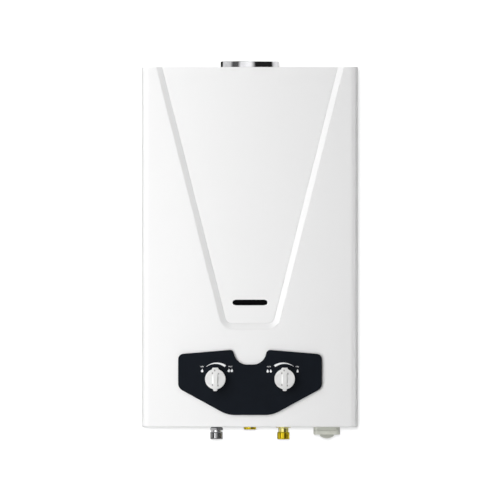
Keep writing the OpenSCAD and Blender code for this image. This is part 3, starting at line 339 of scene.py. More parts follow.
def tone(base, factor):
    return tuple(min(1.0, c * factor) for c in base)


def ramp(tree, factor, stops):
    """Colours between the shades of several stops."""
    colours = add_node(tree, "ValToRGB", "Color", {"Fac": factor})
    elements = colours.node.color_ramp.elements
    for _ in stops[2:]:
        elements.new(0.5)
    for element, (position, shade) in zip(elements, stops):
        element.position = position
        element.color = (*shade, 1.0)
    return colours


def span(tree, factor, low, high, start, end):
    return add_node(tree, "MapRange", "Result", {"Value": factor, "From Min": start, "From Max": end,
                                                 "To Min": low, "To Max": high})


def set_colour(tree, shader, factor, dark, light, start=0.35, end=0.65):
    wire(tree, shader, {"Base Color": ramp(tree, factor, [(start, dark), (end, light)])})


def set_roughness(tree, shader, factor, low, high, start=0.3, end=0.7):
    wire(tree, shader, {"Roughness": span(tree, factor, low, high, start, end)})


def set_bump(tree, shader, height, depth, strength):
    bump = {"Height": height, "Distance": depth, "Strength": strength}
    wire(tree, shader, {"Normal": add_node(tree, "Bump", "Normal", bump)})


def enamel_finish(name, base):
    """Stoved enamel: a smooth coat with a fine orange-peel skin and slight changes of tone."""
    material, tree, shader, place = start_finish(name, gloss=0.45)
    cloud = noise(tree, place, 4.0, 1.0)
    set_colour(tree, shader, cloud, tone(base, 0.994), tone(base, 1.004), 0.1, 0.9)
    set_roughness(tree, shader, cloud, 0.30, 0.34)
    set_bump(tree, shader, noise(tree, place, 330.0, 1.0), 0.000008, 0.5)
    return material


def tinted(material, attribute, shade):
    """Mixes a shade over a finish's colour by the share that an attribute of the mesh gives."""
    tree = material.node_tree
    colour_socket = tree.nodes["Principled BSDF"].inputs["Base Color"]
    share = add_node(tree, "Attribute", "Fac", attribute_name=attribute)
    sockets = {0: share, 6: colour_socket.links[0].from_socket, 7: (*shade, 1.0)}
    tree.links.new(add_node(tree, "Mix", 2, sockets, data_type="RGBA"), colour_socket)
    return material


def moulded_finish(name, base, grain, low, high, depth, gloss=0.5):
    """Moulded plastic: a fine spark-eroded grain with a soft cloud in tone and gloss."""
    material, tree, shader, place = start_finish(name, gloss=gloss)
    cloud = noise(tree, place, 38.0, 4.0)
    set_colour(tree, shader, cloud, tone(base, 0.93), tone(base, 1.06))
    set_roughness(tree, shader, cloud, low, high)
    set_bump(tree, shader, noise(tree, place, grain, 2.0), depth, 0.6)
    return material


def spangle_finish(name, base):
    """Hot-dip galvanised sheet: zinc crystals, each with its own tone and gloss."""
    material, tree, shader, place = start_finish(name, metallic=1.0)
    drawn = stretched(tree, place, (1.0, 1.0, 1.15))
    crystal = add_node(tree, "TexVoronoi", "Color", {"Vector": drawn, "Scale": 95.0})
    set_colour(tree, shader, crystal, tone(base, 0.84), tone(base, 1.10), 0.1, 0.9)
    set_roughness(tree, shader, crystal, 0.30, 0.50, 0.1, 0.9)
    set_bump(tree, shader, noise(tree, place, 600.0, 2.0), 0.00001, 0.4)
    return material


def brushed_finish(name, base, low, high, stretch=(30.0, 30.0, 900.0)):
    """Drawn or turned metal: fine marks in one direction over a cloud of handling tone."""
    material, tree, shader, place = start_finish(name, metallic=1.0)
    marks = noise(tree, stretched(tree, place, stretch), 1.0, 3.0, 0.6)
    cloud = noise(tree, place, 45.0, 4.0)
    set_colour(tree, shader, cloud, tone(base, 0.86), tone(base, 1.06))
    set_roughness(tree, shader, marks, low, high)
    set_bump(tree, shader, marks, 0.000012, 0.4)
    return material


def copper_finish(name, base, tarnish):
    """Copper with heat tarnish that gathers in clouds, and drawing marks."""
    material, tree, shader, place = start_finish(name, metallic=1.0)
    cloud = noise(tree, place, 26.0, 6.0, 0.62, 0.6)
    set_colour(tree, shader, cloud, tarnish, base, 0.30, 0.58)
    set_roughness(tree, shader, cloud, 0.48, 0.24)
    set_bump(tree, shader, noise(tree, stretched(tree, place, (60.0, 60.0, 700.0)), 1.0), 0.00001, 0.3)
    return material


def cast_finish(name, base):
    """Die casting: a dull skin with shallow pitting."""
    material, tree, shader, place = start_finish(name, metallic=1.0)
    cloud = noise(tree, place, 70.0, 5.0)
    set_colour(tree, shader, cloud, tone(base, 0.78), tone(base, 1.05))
    set_roughness(tree, shader, cloud, 0.42, 0.62)
    set_bump(tree, shader, noise(tree, place, 520.0, 4.0, 0.65), 0.00006, 0.6)
    return material


def glass_finish(name, base):
    """Dark glass with a breath of dust."""
    material, tree, shader, place = start_finish(name, gloss=0.02)
    dust = noise(tree, place, 160.0, 5.0, 0.7)
    set_colour(tree, shader, dust, base, tone(base, 1.6), 0.45, 0.8)
    set_roughness(tree, shader, dust, 0.04, 0.10)
    return material


def mica_finish(name, base):
    """Mica: cleaved layers with wandering stains."""
    material, tree, shader, place = start_finish(name)
    stain = noise(tree, place, 60.0, 6.0, 0.6, 1.2)
    set_colour(tree, shader, stain, tone(base, 0.55), tone(base, 1.15), 0.3, 0.7)
    set_roughness(tree, shader, stain, 0.12, 0.3)
    set_bump(tree, shader, stain, 0.00003, 0.5)
    return material


# Makers of the finishes from a name and the colours. Brass is paler where the mesh says that it was polished,
# plate darker where the mesh gives it painted shade, knobs where it gives painted shade at the ends of their
# hollows and their pointer mark, and grey plastic where it gives painted shade under the grip.
FINISHES = {
    "white_enamel": lambda n, c: enamel_finish(n, c.enamel),
    "fascia_plastic": lambda n, c: moulded_finish(n, c.fascia, 1300.0, 0.40, 0.52, 0.000015, 0.08),
    "knob_plastic": lambda n, c: tinted(
        moulded_finish(n, c.knob, 900.0, 0.36, 0.46, 0.00001), "mark", c.knob_shade_and_pointer),
    "print_ink": lambda n, c: moulded_finish(n, c.ink, 2500.0, 0.5, 0.6, 0.000008),
    "galvanised_sheet": lambda n, c: spangle_finish(n, c.galvanised),
    "plain_steel": lambda n, c: brushed_finish(n, c.steel, 0.30, 0.46),
    "brass": lambda n, c: tinted(brushed_finish(n, c.brass, 0.04, 0.09), "polish", c.pale_brass),
    "bright_plate": lambda n, c: tinted(
        brushed_finish(n, c.plate, 0.05, 0.10, (25.0, 25.0, 500.0)), "painted_plate_shade", c.black),
    "copper": lambda n, c: copper_finish(n, c.copper, c.tarnish),
    "dark_glass": lambda n, c: glass_finish(n, c.glass),
    "mica": lambda n, c: mica_finish(n, c.mica),
    "cast_alloy": lambda n, c: cast_finish(n, c.alloy),
    "diaphragm_rubber": lambda n, c: moulded_finish(n, c.rubber, 700.0, 0.62, 0.78, 0.00004),
    "electrode_ceramic": lambda n, c: moulded_finish(n, c.ceramic, 350.0, 0.18, 0.28, 0.00003),
    "black_plastic": lambda n, c: moulded_finish(n, c.black, 800.0, 0.45, 0.6, 0.00003),
    "lead_sheath": lambda n, c: moulded_finish(n, c.sheath, 900.0, 0.5, 0.62, 0.00003),
    "grey_plastic": lambda n, c: tinted(
        moulded_finish(n, c.grey, 900.0, 0.40, 0.55, 0.00003), "painted_grip_shade", tone(c.grey, 0.66)),
}


def finish(name):
    """The material of a finish, made when it is first asked for."""
    return bpy.data.materials.get("look_" + name) or FINISHES[name](name, bpy.context.scene.heater_colours)


# Front cover

FLANK_STEPS, CORNER_STEPS, FOOT_STEPS = 56, 20, 16
# Screws of the side panels: distance from both ends, radius of the hole, and the square of points round it
SCREW_INSET, SCREW_RADIUS = 60 * MM, 4.05 * MM
SCREW_RISES = np.array([12, 6, 0, -6, -12]) * MM
SCREW_DEPTHS = np.array([-24, -20, -16, -12, -8, -5, -2]) * MM
# Heights between which the front runs round the knob holes
CELL_TOP, CELL_FOOT = 150 * MM, 3.5 * MM


def recess_line(s, offset):
    """Points of the V-shaped recess, grown outwards by each offset: a straight flank from the top edge, the
    arc of the lower corner about a fixed centre, the lower edge, and the same again mirrored."""
    half, top = s.recess_low / 2, s.case_height
    slope = (s.case_width / 2 - s.recess_side - half) / (top - s.recess_rise)
    stretch = math.hypot(1, slope)
    centre_x, centre_z = -half + s.recess_corner * (stretch - slope), s.recess_rise + s.recess_corner
    angle = np.linspace(math.pi + math.atan(slope), 1.5 * math.pi, CORNER_STEPS)[:, None]
    radius = s.recess_corner + offset
    arc = join(centre_x + radius * np.cos(angle), centre_z + radius * np.sin(angle))
    t = np.linspace(1, 0, FLANK_STEPS, endpoint=False)[:, None] ** 2
    z = arc[:1, :, 1] + (top - arc[:1, :, 1]) * t
    flank = join(-(half + (z - s.recess_rise) * slope + offset * stretch), z)
    low = join(np.linspace(centre_x, 0, FOOT_STEPS)[1:, None], s.recess_rise - offset)
    half_line = np.concatenate([flank, arc, low])
    return np.concatenate([half_line, (half_line * [-1, 1])[-2::-1]])


def border_profile(s):
    """Offsets across the recess border and their depths: level floor, crease, even slope, crease and level
    front."""
    w, d, g = s.recess_border, s.recess_depth, s.crease
    slope = np.linspace(1.1 * MM, w - 1.1 * MM, 6)
    foot = np.array([-2.0, -1.0, -0.45, -0.15, 0.15, 0.5]) * MM
    offset = np.concatenate([foot, slope, w - foot[::-1]])
    brow = d * foot[-1] / w
    depth = np.concatenate([[d, d, d, d + g, d + g, d - brow], d * (1 - slope / w), [brow, g, g, 0, 0, 0]])
    return offset, depth


def wrap_path(s, front_x, inner_y):
    """Plan line of the cover from its left rear edge round to the right one: side panel, quarter circle,
    the given front points, quarter circle, side panel. Also gives the count of points up to the front."""
    x, y, r = s.case_width / 2, -s.case_depth, s.edge_radius
    angle = np.linspace(0, math.pi / 2, 11)
    arc = join(-x + r - r * np.cos(angle), y + r - r * np.sin(angle))[1:]
    left = np.concatenate([join(-x, inner_y), arc])
    return np.concatenate([left, join(front_x, y), (left * [-1, 1])[::-1]]), len(left)


def recess_floor(s, floor_line):
    """Floor of the recess: rings from its outline to the rolled rim of the sight slot."""
    top_x = np.linspace(floor_line[-1, 0], floor_line[0, 0], 26)[1:-1]
    border = np.concatenate([floor_line, join(top_x, s.case_height)])
    middle, radius = np.array([0, s.slot_rise]), s.slot_height / 2
    straight = s.slot_width / 2 - radius
    rim, roll, ring = (around_hole(border, middle, stadium_reach(straight, radius + grow * MM), rows)
                       for grow, rows in ((0, 2), (0.5, 2), (1.3, 6)))
    y = -s.case_depth + s.recess_depth
    return np.concatenate([on_front(rim[:1], y + 0.35 * MM), on_front(np.concatenate([roll[:1], ring]), y)])


def side_panel(s, side, bend, all_z):
    """One rounded edge with its side panel: a grid up to the row of screws, plain strips beside the screws,
    and a ring from a square to the hole of each screw."""
    x, screws = -side * s.case_width / 2, (SCREW_INSET, s.case_height - SCREW_INSET)
    patches = [surface(join(side * bend[:, 0], bend[:, 1], all_z[:, None]))]
    ends = [CELL_FOOT, *(screw + SCREW_RISES[i] for screw in screws for i in (-1, 0)), s.case_height]
    for low, high in zip(ends[::2], ends[1::2]):
        z = all_z[(all_z > low - 0.5 * MM) & (all_z < high + 0.5 * MM)]
        patches.append(surface(join(x, SCREW_DEPTHS, z[:, None])))
    for screw in screws:
        z = screw + SCREW_RISES
        square = np.concatenate([join(SCREW_DEPTHS, z[0]), join(SCREW_DEPTHS[-1], z[1:-1]),
                                 join(SCREW_DEPTHS[::-1], z[-1]), join(SCREW_DEPTHS[0], z[-2:0:-1])])
        middle = np.array([SCREW_DEPTHS[len(SCREW_DEPTHS) // 2], screw])
        ring = around_hole(square, middle, round_reach(SCREW_RADIUS), 4)
        patches.append(surface(join(x, ring[..., 0], ring[..., 1]), wrap_v=True))
    return patches


def lower_lip(s, path):
    """Turned-in lower edge: the plan line moves inwards by a quarter circle, and its rounded corners shrink
    about their centres."""
    drop = np.linspace(0, math.pi / 2, 7)
    z = np.concatenate([[CELL_FOOT], s.lip_radius * (1 - np.sin(drop))])
    inward = np.concatenate([[0.0], s.lip_radius * (1 - np.cos(drop))])
    flat = s.case_width / 2 - s.edge_radius
    core = join(np.clip(path[:, 0], -flat, flat), np.maximum(path[:, 1], s.edge_radius - s.case_depth))
    reach = (s.edge_radius - inward)[:, None, None] / s.edge_radius
    plan = core + (path - core) * reach
    return join(plan[..., 0], plan[..., 1], z[:, None])


def cover_patches(s):
    """Enamelled cover as one sheet: recess floor round the sight slot, creased border, front round both knob
    holes, rounded edges, side panels round the screw holes, and a turned-in lower lip."""
    y, top = -s.case_depth, s.case_height
    inner = s.case_width / 2 - s.edge_radius - 1.5 * MM
    offset, depth = border_profile(s)
    line = recess_line(s, offset)
    patches = [surface(on_front(line, y + depth)), surface(recess_floor(s, line[:, 0]), wrap_v=True)]

    # Front beside and below the recess
    outer = line[:, -1]
    turn = FLANK_STEPS + CORNER_STEPS // 2
    upper, lower = top - SCREW_INSET + SCREW_RISES, SCREW_INSET + SCREW_RISES
    edge_z = np.concatenate([[top, top - 24 * MM], upper[:-1], np.linspace(upper[-1], CELL_TOP, turn - 5)])
    low_x = np.linspace(-inner, inner, len(outer) - 2 * turn)
    left_edge, low_edge = join(-inner, edge_z), join(low_x, CELL_TOP)
    edge = np.concatenate([left_edge, low_edge[1:-1], (left_edge * [-1, 1])[::-1]])
    t = np.linspace(0, 1, 4)[None, :, None]
    patches.append(surface(on_front(outer[:, None] * (1 - t) + edge[:, None] * t, y)))

    # Front round the knob holes
    cell_z = np.concatenate([np.linspace(CELL_TOP, lower[0], 9), lower[1:-1],
                             np.linspace(lower[-1], CELL_FOOT, 7)])
    foot_x = np.linspace(-inner, 0, 25)
    cell = np.concatenate([low_edge[low_x <= 1e-9], join(0.0, cell_z[1:-1]), join(foot_x, CELL_FOOT)[::-1],
                           join(-inner, cell_z[-2:0:-1])])
    knob = np.array([-s.knob_pitch / 2, s.knob_rise])
    hole = around_hole(cell, knob, round_reach(s.knob_radius - 5 * MM))
    patches += [surface(on_front(hole * [side, 1], y), wrap_v=True) for side in (1, -1)]

    # Rounded edges, side panels and lower lip
    wall_y = np.concatenate([SCREW_DEPTHS[::-1], [-80 * MM, y + s.edge_radius + 1.5 * MM, y + s.edge_radius]])
    path, n_left = wrap_path(s, np.concatenate([foot_x, -foot_x[-2::-1]]), wall_y)
    bend = path[len(SCREW_DEPTHS) - 1:n_left + 1]
    for side in (1, -1):
        patches += side_panel(s, side, bend, np.concatenate([edge_z, cell_z[1:]]))
    return patches + [surface(lower_lip(s, path))]


class HEATER_OT_front_cover(bpy.types.Operator):
    """Build the enamelled front cover with its recess"""

    bl_idname = "heater.front_cover"
    bl_label = "Front cover"

    def execute(self, context):
        sizes = context.scene.heater_sizes
        cover = make_piece("cover_sheet", cover_patches(sizes), "white_enamel", replaces=("front_cover",),
                           outward=(0, -1, 0), sharp=24.0)
        solid = cover.modifiers.new("Sheet", "SOLIDIFY")
        solid.thickness = sizes.sheet
        solid.offset = -1.0
        solid.use_even_offset = True
        return {"FINISHED"}


# Controls

SHANK_ROOM = 7.6 * MM


def fascia_line():
    """Outline of the fascia in the X-Z plane, with the notch between the knobs."""
    half = [(37.7, 20), (119.8, 64.8), (119.8, 121.3), (28, 129), (23.6, 104.1)]
    points = half + [(-x, z) for x, z in half[::-1]]
    radii = [50, 13, 9.3, 6.9, 22.4]
    return rounded_outline(np.array(points) * MM, np.array(radii + radii[::-1]) * MM, 12)


def fascia_patches(s):
    """Moulded plate: side wall and rounded edge as insets of the outline, a front and a back that run from
    the outline to the hole of each knob, and the walls of the holes."""
    back, deep = -s.case_depth, -FASCIA_LOW.y - s.case_depth
    line = fascia_line()
    steps = [(0, 0.0), (0, 0.72), (0.12, 0.86), (0.4, 0.95), (0.8, 0.99), (1.2, 1.0), (1.9, 1.0)]
    rings = np.stack([on_front(inset(line, i * MM), back - deep * f) for i, f in steps])
    patches = [surface(rings, wrap_v=True)]
    for i, f in (steps[0], steps[-1]):
        loop = inset(line, i * MM)
        right = loop[loop[:, 0] > 0]
        first = np.argmax(np.linalg.norm(right - np.roll(right, 1, 0), axis=1))
        right = np.roll(right, -first, 0)
        half = np.concatenate([right, join(0.0, np.linspace(right[-1, 1], right[0, 1], 9))])
        hole = around_hole(half, np.array([s.knob_pitch / 2, s.knob_rise]), round_reach(SHANK_ROOM), 6)
        for side in (1, -1):
            patches.append(surface(on_front(hole * [side, 1], back - deep * f), wrap_v=True))
    for side in (1, -1):
        wall = np.stack([on_front(hole[0] * [side, 1], back - deep * f) for f in (0.0, 1.0)])
        patches.append(surface(wall, wrap_v=True))
    return patches


def quarter_round(past, radius):
    """Drop of a rounded edge at a distance past its start: radius - sqrt(radius^2 - past^2)."""
    return radius - np.sqrt(radius ** 2 - np.clip(past, 0, radius) ** 2)


def knob_face(s):
    """Face of a knob over u across its bar and v along it, where v runs over a sine of its share of
    sqrt(radius^2 - u^2). The height is a shallow spherical crown, cut on each side of the bar by a cylinder
    that lies across it, with a fillet along the bar and quarter rounds on the bar's edges and at the rim."""
    radius, half, crown = s.knob_radius, s.knob_grip / 2, 1.5 * MM
    brow, fillet, rim = 1.5 * MM, 0.8 * MM, 0.6 * MM
    hollow_half, hollow_shift = 10.4 * MM, 0.4 * MM
    quarter = np.sin(np.linspace(0, np.pi / 2, 9))
    side = np.concatenate([
        np.linspace(0, half - brow, 6)[:-1], half - brow + brow * quarter, [half + 0.02 * MM],
        half + fillet * (1 - quarter[-2::-1]), np.linspace(half + fillet, radius - rim, 12)[1:-1],
        radius - rim + rim * quarter])
    u = np.concatenate([-side[:0:-1], side])[:, None]
    v = np.sin(np.linspace(-np.pi / 2, np.pi / 2, 161)) * np.sqrt(np.maximum(radius ** 2 - u ** 2, 0))
    reach, across = np.hypot(u, v), np.abs(u)
    curve = (radius ** 2 + crown ** 2) / (2 * crown)
    dome = s.knob_height - curve + np.sqrt(curve ** 2 - reach ** 2)
    bore = (s.knob_hollow ** 2 + hollow_half ** 2) / (2 * s.knob_hollow)
    along = np.clip(v + hollow_shift, -bore, bore)
    scoop = s.knob_height - s.knob_hollow + bore - np.sqrt(bore ** 2 - along ** 2)
    depth = np.maximum(dome - scoop, 0)
    floor = np.minimum(scoop + quarter_round(half + fillet - across, fillet), dome)
    edge = dome - np.minimum(quarter_round(across - half + brow, brow), depth)
    height = np.where(across > half, floor, edge) - quarter_round(reach - radius + rim, rim)
    return u, v, height


def knob_patches(s, x):
    """Knob: its face, a skirt of rings from the face's edge down to the shank, and the tabs, which are one
    outline through the drum carried up to a rounded top."""
    front = FASCIA_LOW.y - 0.5 * MM
    u, v, height = knob_face(s)
    face = join(x + u, front - height, s.knob_rise + v)
    rim = np.concatenate([face[:, -1], face[-2:0:-1, 0]])
    middle = np.array([x, 0, s.knob_rise])
    skirt = [rim]
    for share, w in ((1, 1.0), (0.995, 0.5), (0.98, 0.15), (0.96, 0), (0.41, 0), (0.41, -4.2)):
        skirt.append((rim - middle) * [share, 0, share] + middle + [0, front - w * MM, 0])
    half = [(3.2, -20), (3.9, -15), (4.0, 8), (6.3, 15.4), (4.6, 19)]
    tab = rounded_outline(np.array(half + [(-p, q) for p, q in half[::-1]]) * MM,
                          np.array([2, 1, 1, 1, 1.6, 1.6, 1, 1, 1, 2]) * MM)
    stages = [(0.0, 0.5), (0.0, 12.9), (0.2, 13.5), (0.6, 13.9), (1.1, 14.0)]
    tabs = np.stack([on_front(inset(tab, i * MM), front - w * MM) for i, w in stages]) + middle
    return [surface(face), surface(np.stack(skirt), wrap_v=True), disc_cap(skirt[-1]), *capped(tabs)]


def paint_knob_shade_and_pointer(piece, s, x):
    """Writes the share of dark tint at each vertex: painted shade in bell curves about the ends of the hollows,
    and one bell curve for the dark pointer mark."""
    u, _, v = (vertex_places(piece.data) - [x, 0, s.knob_rise + COVER_LOW.z]).T / MM
    # Painted shade: the first four spots darken the ends of the hollows; the last is the pointer mark
    spots = np.array([(-4.8, 9.8), (5.3, 8.8), (-4.7, -9.8), (4.4, -10.8), (-1.0, 14.4)])
    width, height = 1.0, 1.4
    past = ((u[:, None] - spots[:, 0]) / width) ** 2 + ((v[:, None] - spots[:, 1]) / height) ** 2
    set_share(piece.data, "mark", np.exp(-past).max(1))


def pad(outline, y, height):
    """Thin raised mark: the outline's wall with a flat front and back."""
    return capped(np.stack([on_front(outline, y), on_front(outline, y - height)]))


class HEATER_OT_fascia(bpy.types.Operator):
    """Build the dark control fascia"""

    bl_idname = "heater.fascia"
    bl_label = "Control fascia"

    def execute(self, context):
        make_piece("fascia_plate", fascia_patches(context.scene.heater_sizes), "fascia_plastic",
                   replaces=("control_fascia",))
        return {"FINISHED"}


class HEATER_OT_knobs(bpy.types.Operator):
    """Build both knobs with their painted shade at the hollow ends and their dark pointer marks"""

    bl_idname = "heater.knobs"
    bl_label = "Knobs"

    def execute(self, context):
        sizes = context.scene.heater_sizes
        for side, word in ((-1, "gas"), (1, "water")):
            x = side * sizes.knob_pitch / 2
            shell = make_piece(f"{word}_knob_shell", knob_patches(sizes, x), "knob_plastic",
                               body=f"{word}_control", replaces=(f"{word}_knob",))
            # Painted shade at the ends of the hollows, and the pointer mark
            paint_knob_shade_and_pointer(shell, sizes, x)
        return {"FINISHED"}


# Printing on the fascia

WORD_RISE = 20.6 * MM


def scale_patches(s, side):
    """Tapered scale: a grid between an inner arc and an outer one whose radius grows along it, with a thin
    wall round both."""
    y, turn, t = FASCIA_LOW.y, np.radians(np.linspace(-36, 38, 33)), np.linspace(0, 1, 33)
    radius = s.scale_radius + np.stack([(0.4 + 3.4 * t) * MM, 0 * t])
    edges = join(-side * radius * np.sin(turn), radius * np.cos(turn)) + [side * s.knob_pitch / 2, s.knob_rise]
    ring = np.concatenate([edges[0], edges[1, ::-1]])
    front, back = on_front(edges, y - s.print_height), on_front(edges, y)
    wall = np.stack([on_front(ring, y), on_front(ring, y - s.print_height)])
    return [surface(front), surface(back[::-1]), surface(wall, wrap_v=True)]


def drop_line(width, height):
    """Water drop: a round foot that narrows to a point, x = sin(t) sin(t/2)^1.6 and z = cos(t)."""
    t = np.linspace(0, 2 * np.pi, 29)[:-1]
    x = np.sin(t) * np.abs(np.sin(t / 2)) ** 1.6
    return join(x * width / 2 * 1.18, np.cos(t) * height / 2)


def flame_line(width, height):
    """Flame: a broad foot, a leaning tip and a smaller lick beside it, with rounded corners."""
    points = [(0.06, 0.5), (0.3, 0.12), (0.48, -0.28), (0.26, -0.5), (-0.26, -0.5), (-0.48, -0.2),
              (-0.34, 0.18), (-0.18, -0.02)]
    radii = [0.03, 0.25, 0.18, 0.16, 0.16, 0.16, 0.03, 0.05]
    return rounded_outline(np.array(points) * [width, height], np.array(radii) * width)


def word_mesh(name, word, x, z, y, height):
    """A short generic word as a mesh on the fascia, about 2 mm tall."""
    face = bpy.data.curves.new(name, "FONT")
    face.body, face.size, face.extrude = word, 3.1 * MM, height / 2
    face.align_x, face.align_y = "CENTER", "CENTER"
    face.resolution_u = 3
    maker = bpy.data.objects.new(name, face)
    bpy.context.scene.collection.objects.link(maker)
    mesh = bpy.data.meshes.new_from_object(maker.evaluated_get(bpy.context.evaluated_depsgraph_get()))
    bpy.data.objects.remove(maker)
    bpy.data.curves.remove(face)
    mesh.name = name
    place = Matrix.Translation((x, y - height / 2, z + COVER_LOW.z))
    mesh.transform(place @ Matrix.Rotation(math.pi / 2, 4, "X"))
    mesh.materials.clear()
    mesh.materials.append(finish("print_ink"))
    return mesh


class HEATER_OT_printing(bpy.types.Operator):
    """Print the scales, flames, drops and end words on the fascia"""

    bl_idname = "heater.printing"
    bl_label = "Printed scales"

    def execute(self, context):
        sizes, y = context.scene.heater_sizes, FASCIA_LOW.y
        flame, drop = flame_line(4.4 * MM, 6.0 * MM), drop_line(4.4 * MM, 5.8 * MM)
        prints = (
            (-1, "gas", flame, ((-22, 14.3), (22.4, 14.6), (27.4, 14.6)), (("MIN", -22), ("MAX", 25))),
            (1, "water", drop, ((-28.4, 13.7), (-23.2, 13.7), (21.5, 13.7)), (("MAX", -26.2), ("MIN", 20.9))),
        )
        for side, name, line, places, words in prints:
            x = side * sizes.knob_pitch / 2
            make_piece(f"{name}_scale", scale_patches(sizes, side), "print_ink")
            signs = []
            for u, v in places:
                signs += pad(line + [x + u * MM, sizes.knob_rise + v * MM], y, sizes.print_height)
            make_piece(f"{name}_signs", signs, "print_ink")
            for word, u in words:
                mesh = word_mesh(f"{name}_{word.lower()}", word, x + u * MM, sizes.knob_rise + WORD_RISE, y,
                                 sizes.print_height)
                place_piece(mesh.name, mesh, BODY)
        return {"FINISHED"}


# Flue collar and fittings

# Share of the pitch and share of the depth along one turn of the thread
THREAD_FORM = [(0.0, 0.0), (0.03, 0.05), (0.13, 0.95), (0.17, 0.95), (0.27, 0.05), (0.30, 0.0), (0.33, 0.0),
               (0.65, 0.0), (0.97, 0.0)]
THREAD_DEPTH = 0.32
PORT_STEPS = 72
NUT_STEPS, NUT_CONE = 144, 1.73


def thread_patch(s, low, high, centre):
    """Pipe thread with broad crests: each row of points follows the helix height = start + pitch * angle /
    full turn, its depth repeats with every turn, and rows past an end are held at that end's height, where
    the thread runs out to its root over one millimetre."""
    form = np.array(THREAD_FORM)
    turns = int((high - low) / s.thread_pitch) + 3
    start = (np.arange(turns)[:, None] + form[:, 0]).ravel() * s.thread_pitch + low - 1.5 * s.thread_pitch
    turn = np.linspace(0, 1, PORT_STEPS + 1)[:, None]
    z = np.clip(start + turn * s.thread_pitch, low, high)
    run_out = np.clip((z - low) / MM, 0, 1) * np.clip((high - z) / MM, 0, 1)
    radius = s.thread_radius - THREAD_DEPTH * s.thread_pitch * (1 - (1 - np.tile(form[:, 1], turns)) * run_out)
    angle = 2 * np.pi * turn
    return surface(join(centre[0] + radius * np.cos(angle), centre[1] + radius * np.sin(angle), z))


def nipple_patches(s, node, above, neck):
    """Threaded connection of a node: a turned profile above the thread with a plain neck, the thread, and a
    chamfered end that leads into the bore, where the profile starts."""
    low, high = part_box(node)
    centre = (low.x + high.x) / 2, (low.y + high.y) / 2
    end = (low.z - COVER_LOW.z) / MM
    top = end + s.thread_length / MM
    root = (s.thread_radius - THREAD_DEPTH * s.thread_pitch) / MM
    bore = above[0][0]
    upper = np.array(above + [(neck, top + 0.6), (neck, top + 0.2), (root, top)]) * MM
    lower = np.array([(root, end + 0.2), (8.6, end), (bore + 0.4, end), (bore, end + 0.4), above[0]]) * MM
    return [lathe(*upper.T, centre, PORT_STEPS), lathe(*lower.T, centre, PORT_STEPS),
            thread_patch(s, (end + 0.2) * MM, top * MM, centre)]


class HEATER_OT_fittings(bpy.types.Operator):
    """Build the flue collar, the three threaded connections and the hexagon nut"""

    bl_idname = "heater.fittings"
    bl_label = "Flue collar and connections"

    def execute(self, context):
        s = context.scene.heater_sizes
        collar = (COLLAR_HIGH + COLLAR_LOW) / 2
        reach = (COLLAR_HIGH.x - COLLAR_LOW.x) / 2 / MM
        profile = np.array([(-2.4, 588), (-1.2, 588), (-1.2, 599.9), (-0.4, 600), (0, 600.4), (0, 608.9),
                            (-0.2, 609.5), (-0.7, 609.9), (-1.3, 610), (-1.9, 609.8), (-2.4, 609.2)]) + [reach, 0]
        make_piece("flue_ring", [lathe(*profile.T * MM, (collar.x, collar.y), 144, True)], "bright_plate",
                   replaces=("flue_collar",))

        cold = [(6.5, 22), (9.5, 22), (9.5, 16.2), (8.5, 15.8), (8.5, 0.4), (12.2, 0.4), (12.48, 0.1),
                (12.48, -0.1), (12.48, -1.1), (12.48, -1.3), (12.2, -1.6), (9.2, -1.6), (8.6, -2.0), (8.48, -2.6),
                (8.48, -3.0)]
        gas = [(6.5, 60), (14, 60), (14, 54.2), (13.8, 54), (8.48, 54)]
        hot = [(6.0, 22), (8.58, 22)]
        for name, above, neck, look in (("cold_inlet", cold, 8.48, "brass"), ("gas_inlet", gas, 8.48, "brass"),
                                        ("hot_outlet", hot, 8.58, "bright_plate")):
            node = name + "_nipple"
            port = make_piece(name, nipple_patches(s, node, above, neck), look, replaces=(node,))
            past_thread = (vertex_places(port.data)[:, 2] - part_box(node)[0].z - s.thread_length) / MM
            if name == "cold_inlet":
                set_share(port.data, "polish", np.clip(past_thread, 0, 1))
            if name == "hot_outlet":
                # Painted shade: the thread's base colour is halved, which darkens its reflections
                set_share(port.data, "painted_plate_shade", np.clip(-past_thread, 0, 1) * 0.5)
        self.build_nut()
        return {"FINISHED"}

    def build_nut(self):
        """Hexagon with a corner in front and its corners turned off: the flats stand at their
        distance / cos(angle from the flat) between two cones, and a neck leads up into the case."""
        low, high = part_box("hot_outlet_nut")
        bottom, top, brim = low.z - COVER_LOW.z + 1.1 * MM, high.z - COVER_LOW.z, -1.9 * MM
        corner, x, y = (high.y - low.y) / 2, (high.x + low.x) / 2, (high.y + low.y) / 2
        angle = np.linspace(0, 2 * np.pi, NUT_STEPS, endpoint=False)
        from_flat = np.mod(angle + np.pi / 6, np.pi / 3) - np.pi / 6
        flat = corner * math.cos(math.pi / 6) / np.cos(from_flat)
        foot = corner - 1.4 * MM
        cone = np.maximum(flat - foot, 0) / NUT_CONE
        bore, neck, turned = 8.68 * MM, 9.28 * MM, np.minimum(flat, foot)
        radius = join(bore, neck, neck, turned, flat, flat, turned, bore)
        z = join(top, top, brim, brim, brim - cone, bottom + cone, bottom, bottom)
        nut = make_piece("outlet_nut", [lathe(radius, z, (x, y), NUT_STEPS, closed=True)], "bright_plate",
                         replaces=("hot_outlet_nut",), sharp=25.0)
        across, along, above = (vertex_places(nut.data) - [x, y, COVER_LOW.z + brim]).T
        # Painted shade: the neck above the brim turns black, a painted shadow in the gap between the nut and the
        # case
        set_share(nut.data, "painted_plate_shade", 1.0 * (np.hypot(across, along) < 9.5 * MM) * (above > -0.1 * MM))


# Battery cover, in millimetres

GRIP_DROP, HINGE_ROOM = 6.2, 6.2
GRIP_RADIUS, GRIP_MIDDLE, GRIP_HALF = 17.8, 11.6, 11.6
KNUCKLE_RADIUS, KNUCKLE_BORE, KNUCKLE_HALF, TONGUE = 2.8, 1.27, 9.5, 4.6
PIN_BACK, PIN_RISE = 3.4, 5


def cover_rings(outline, stages):
    """Rings of one plan outline at several insets and heights."""
    return np.stack([join(*inset(outline, i * MM).T, z * MM) for i, z in stages])


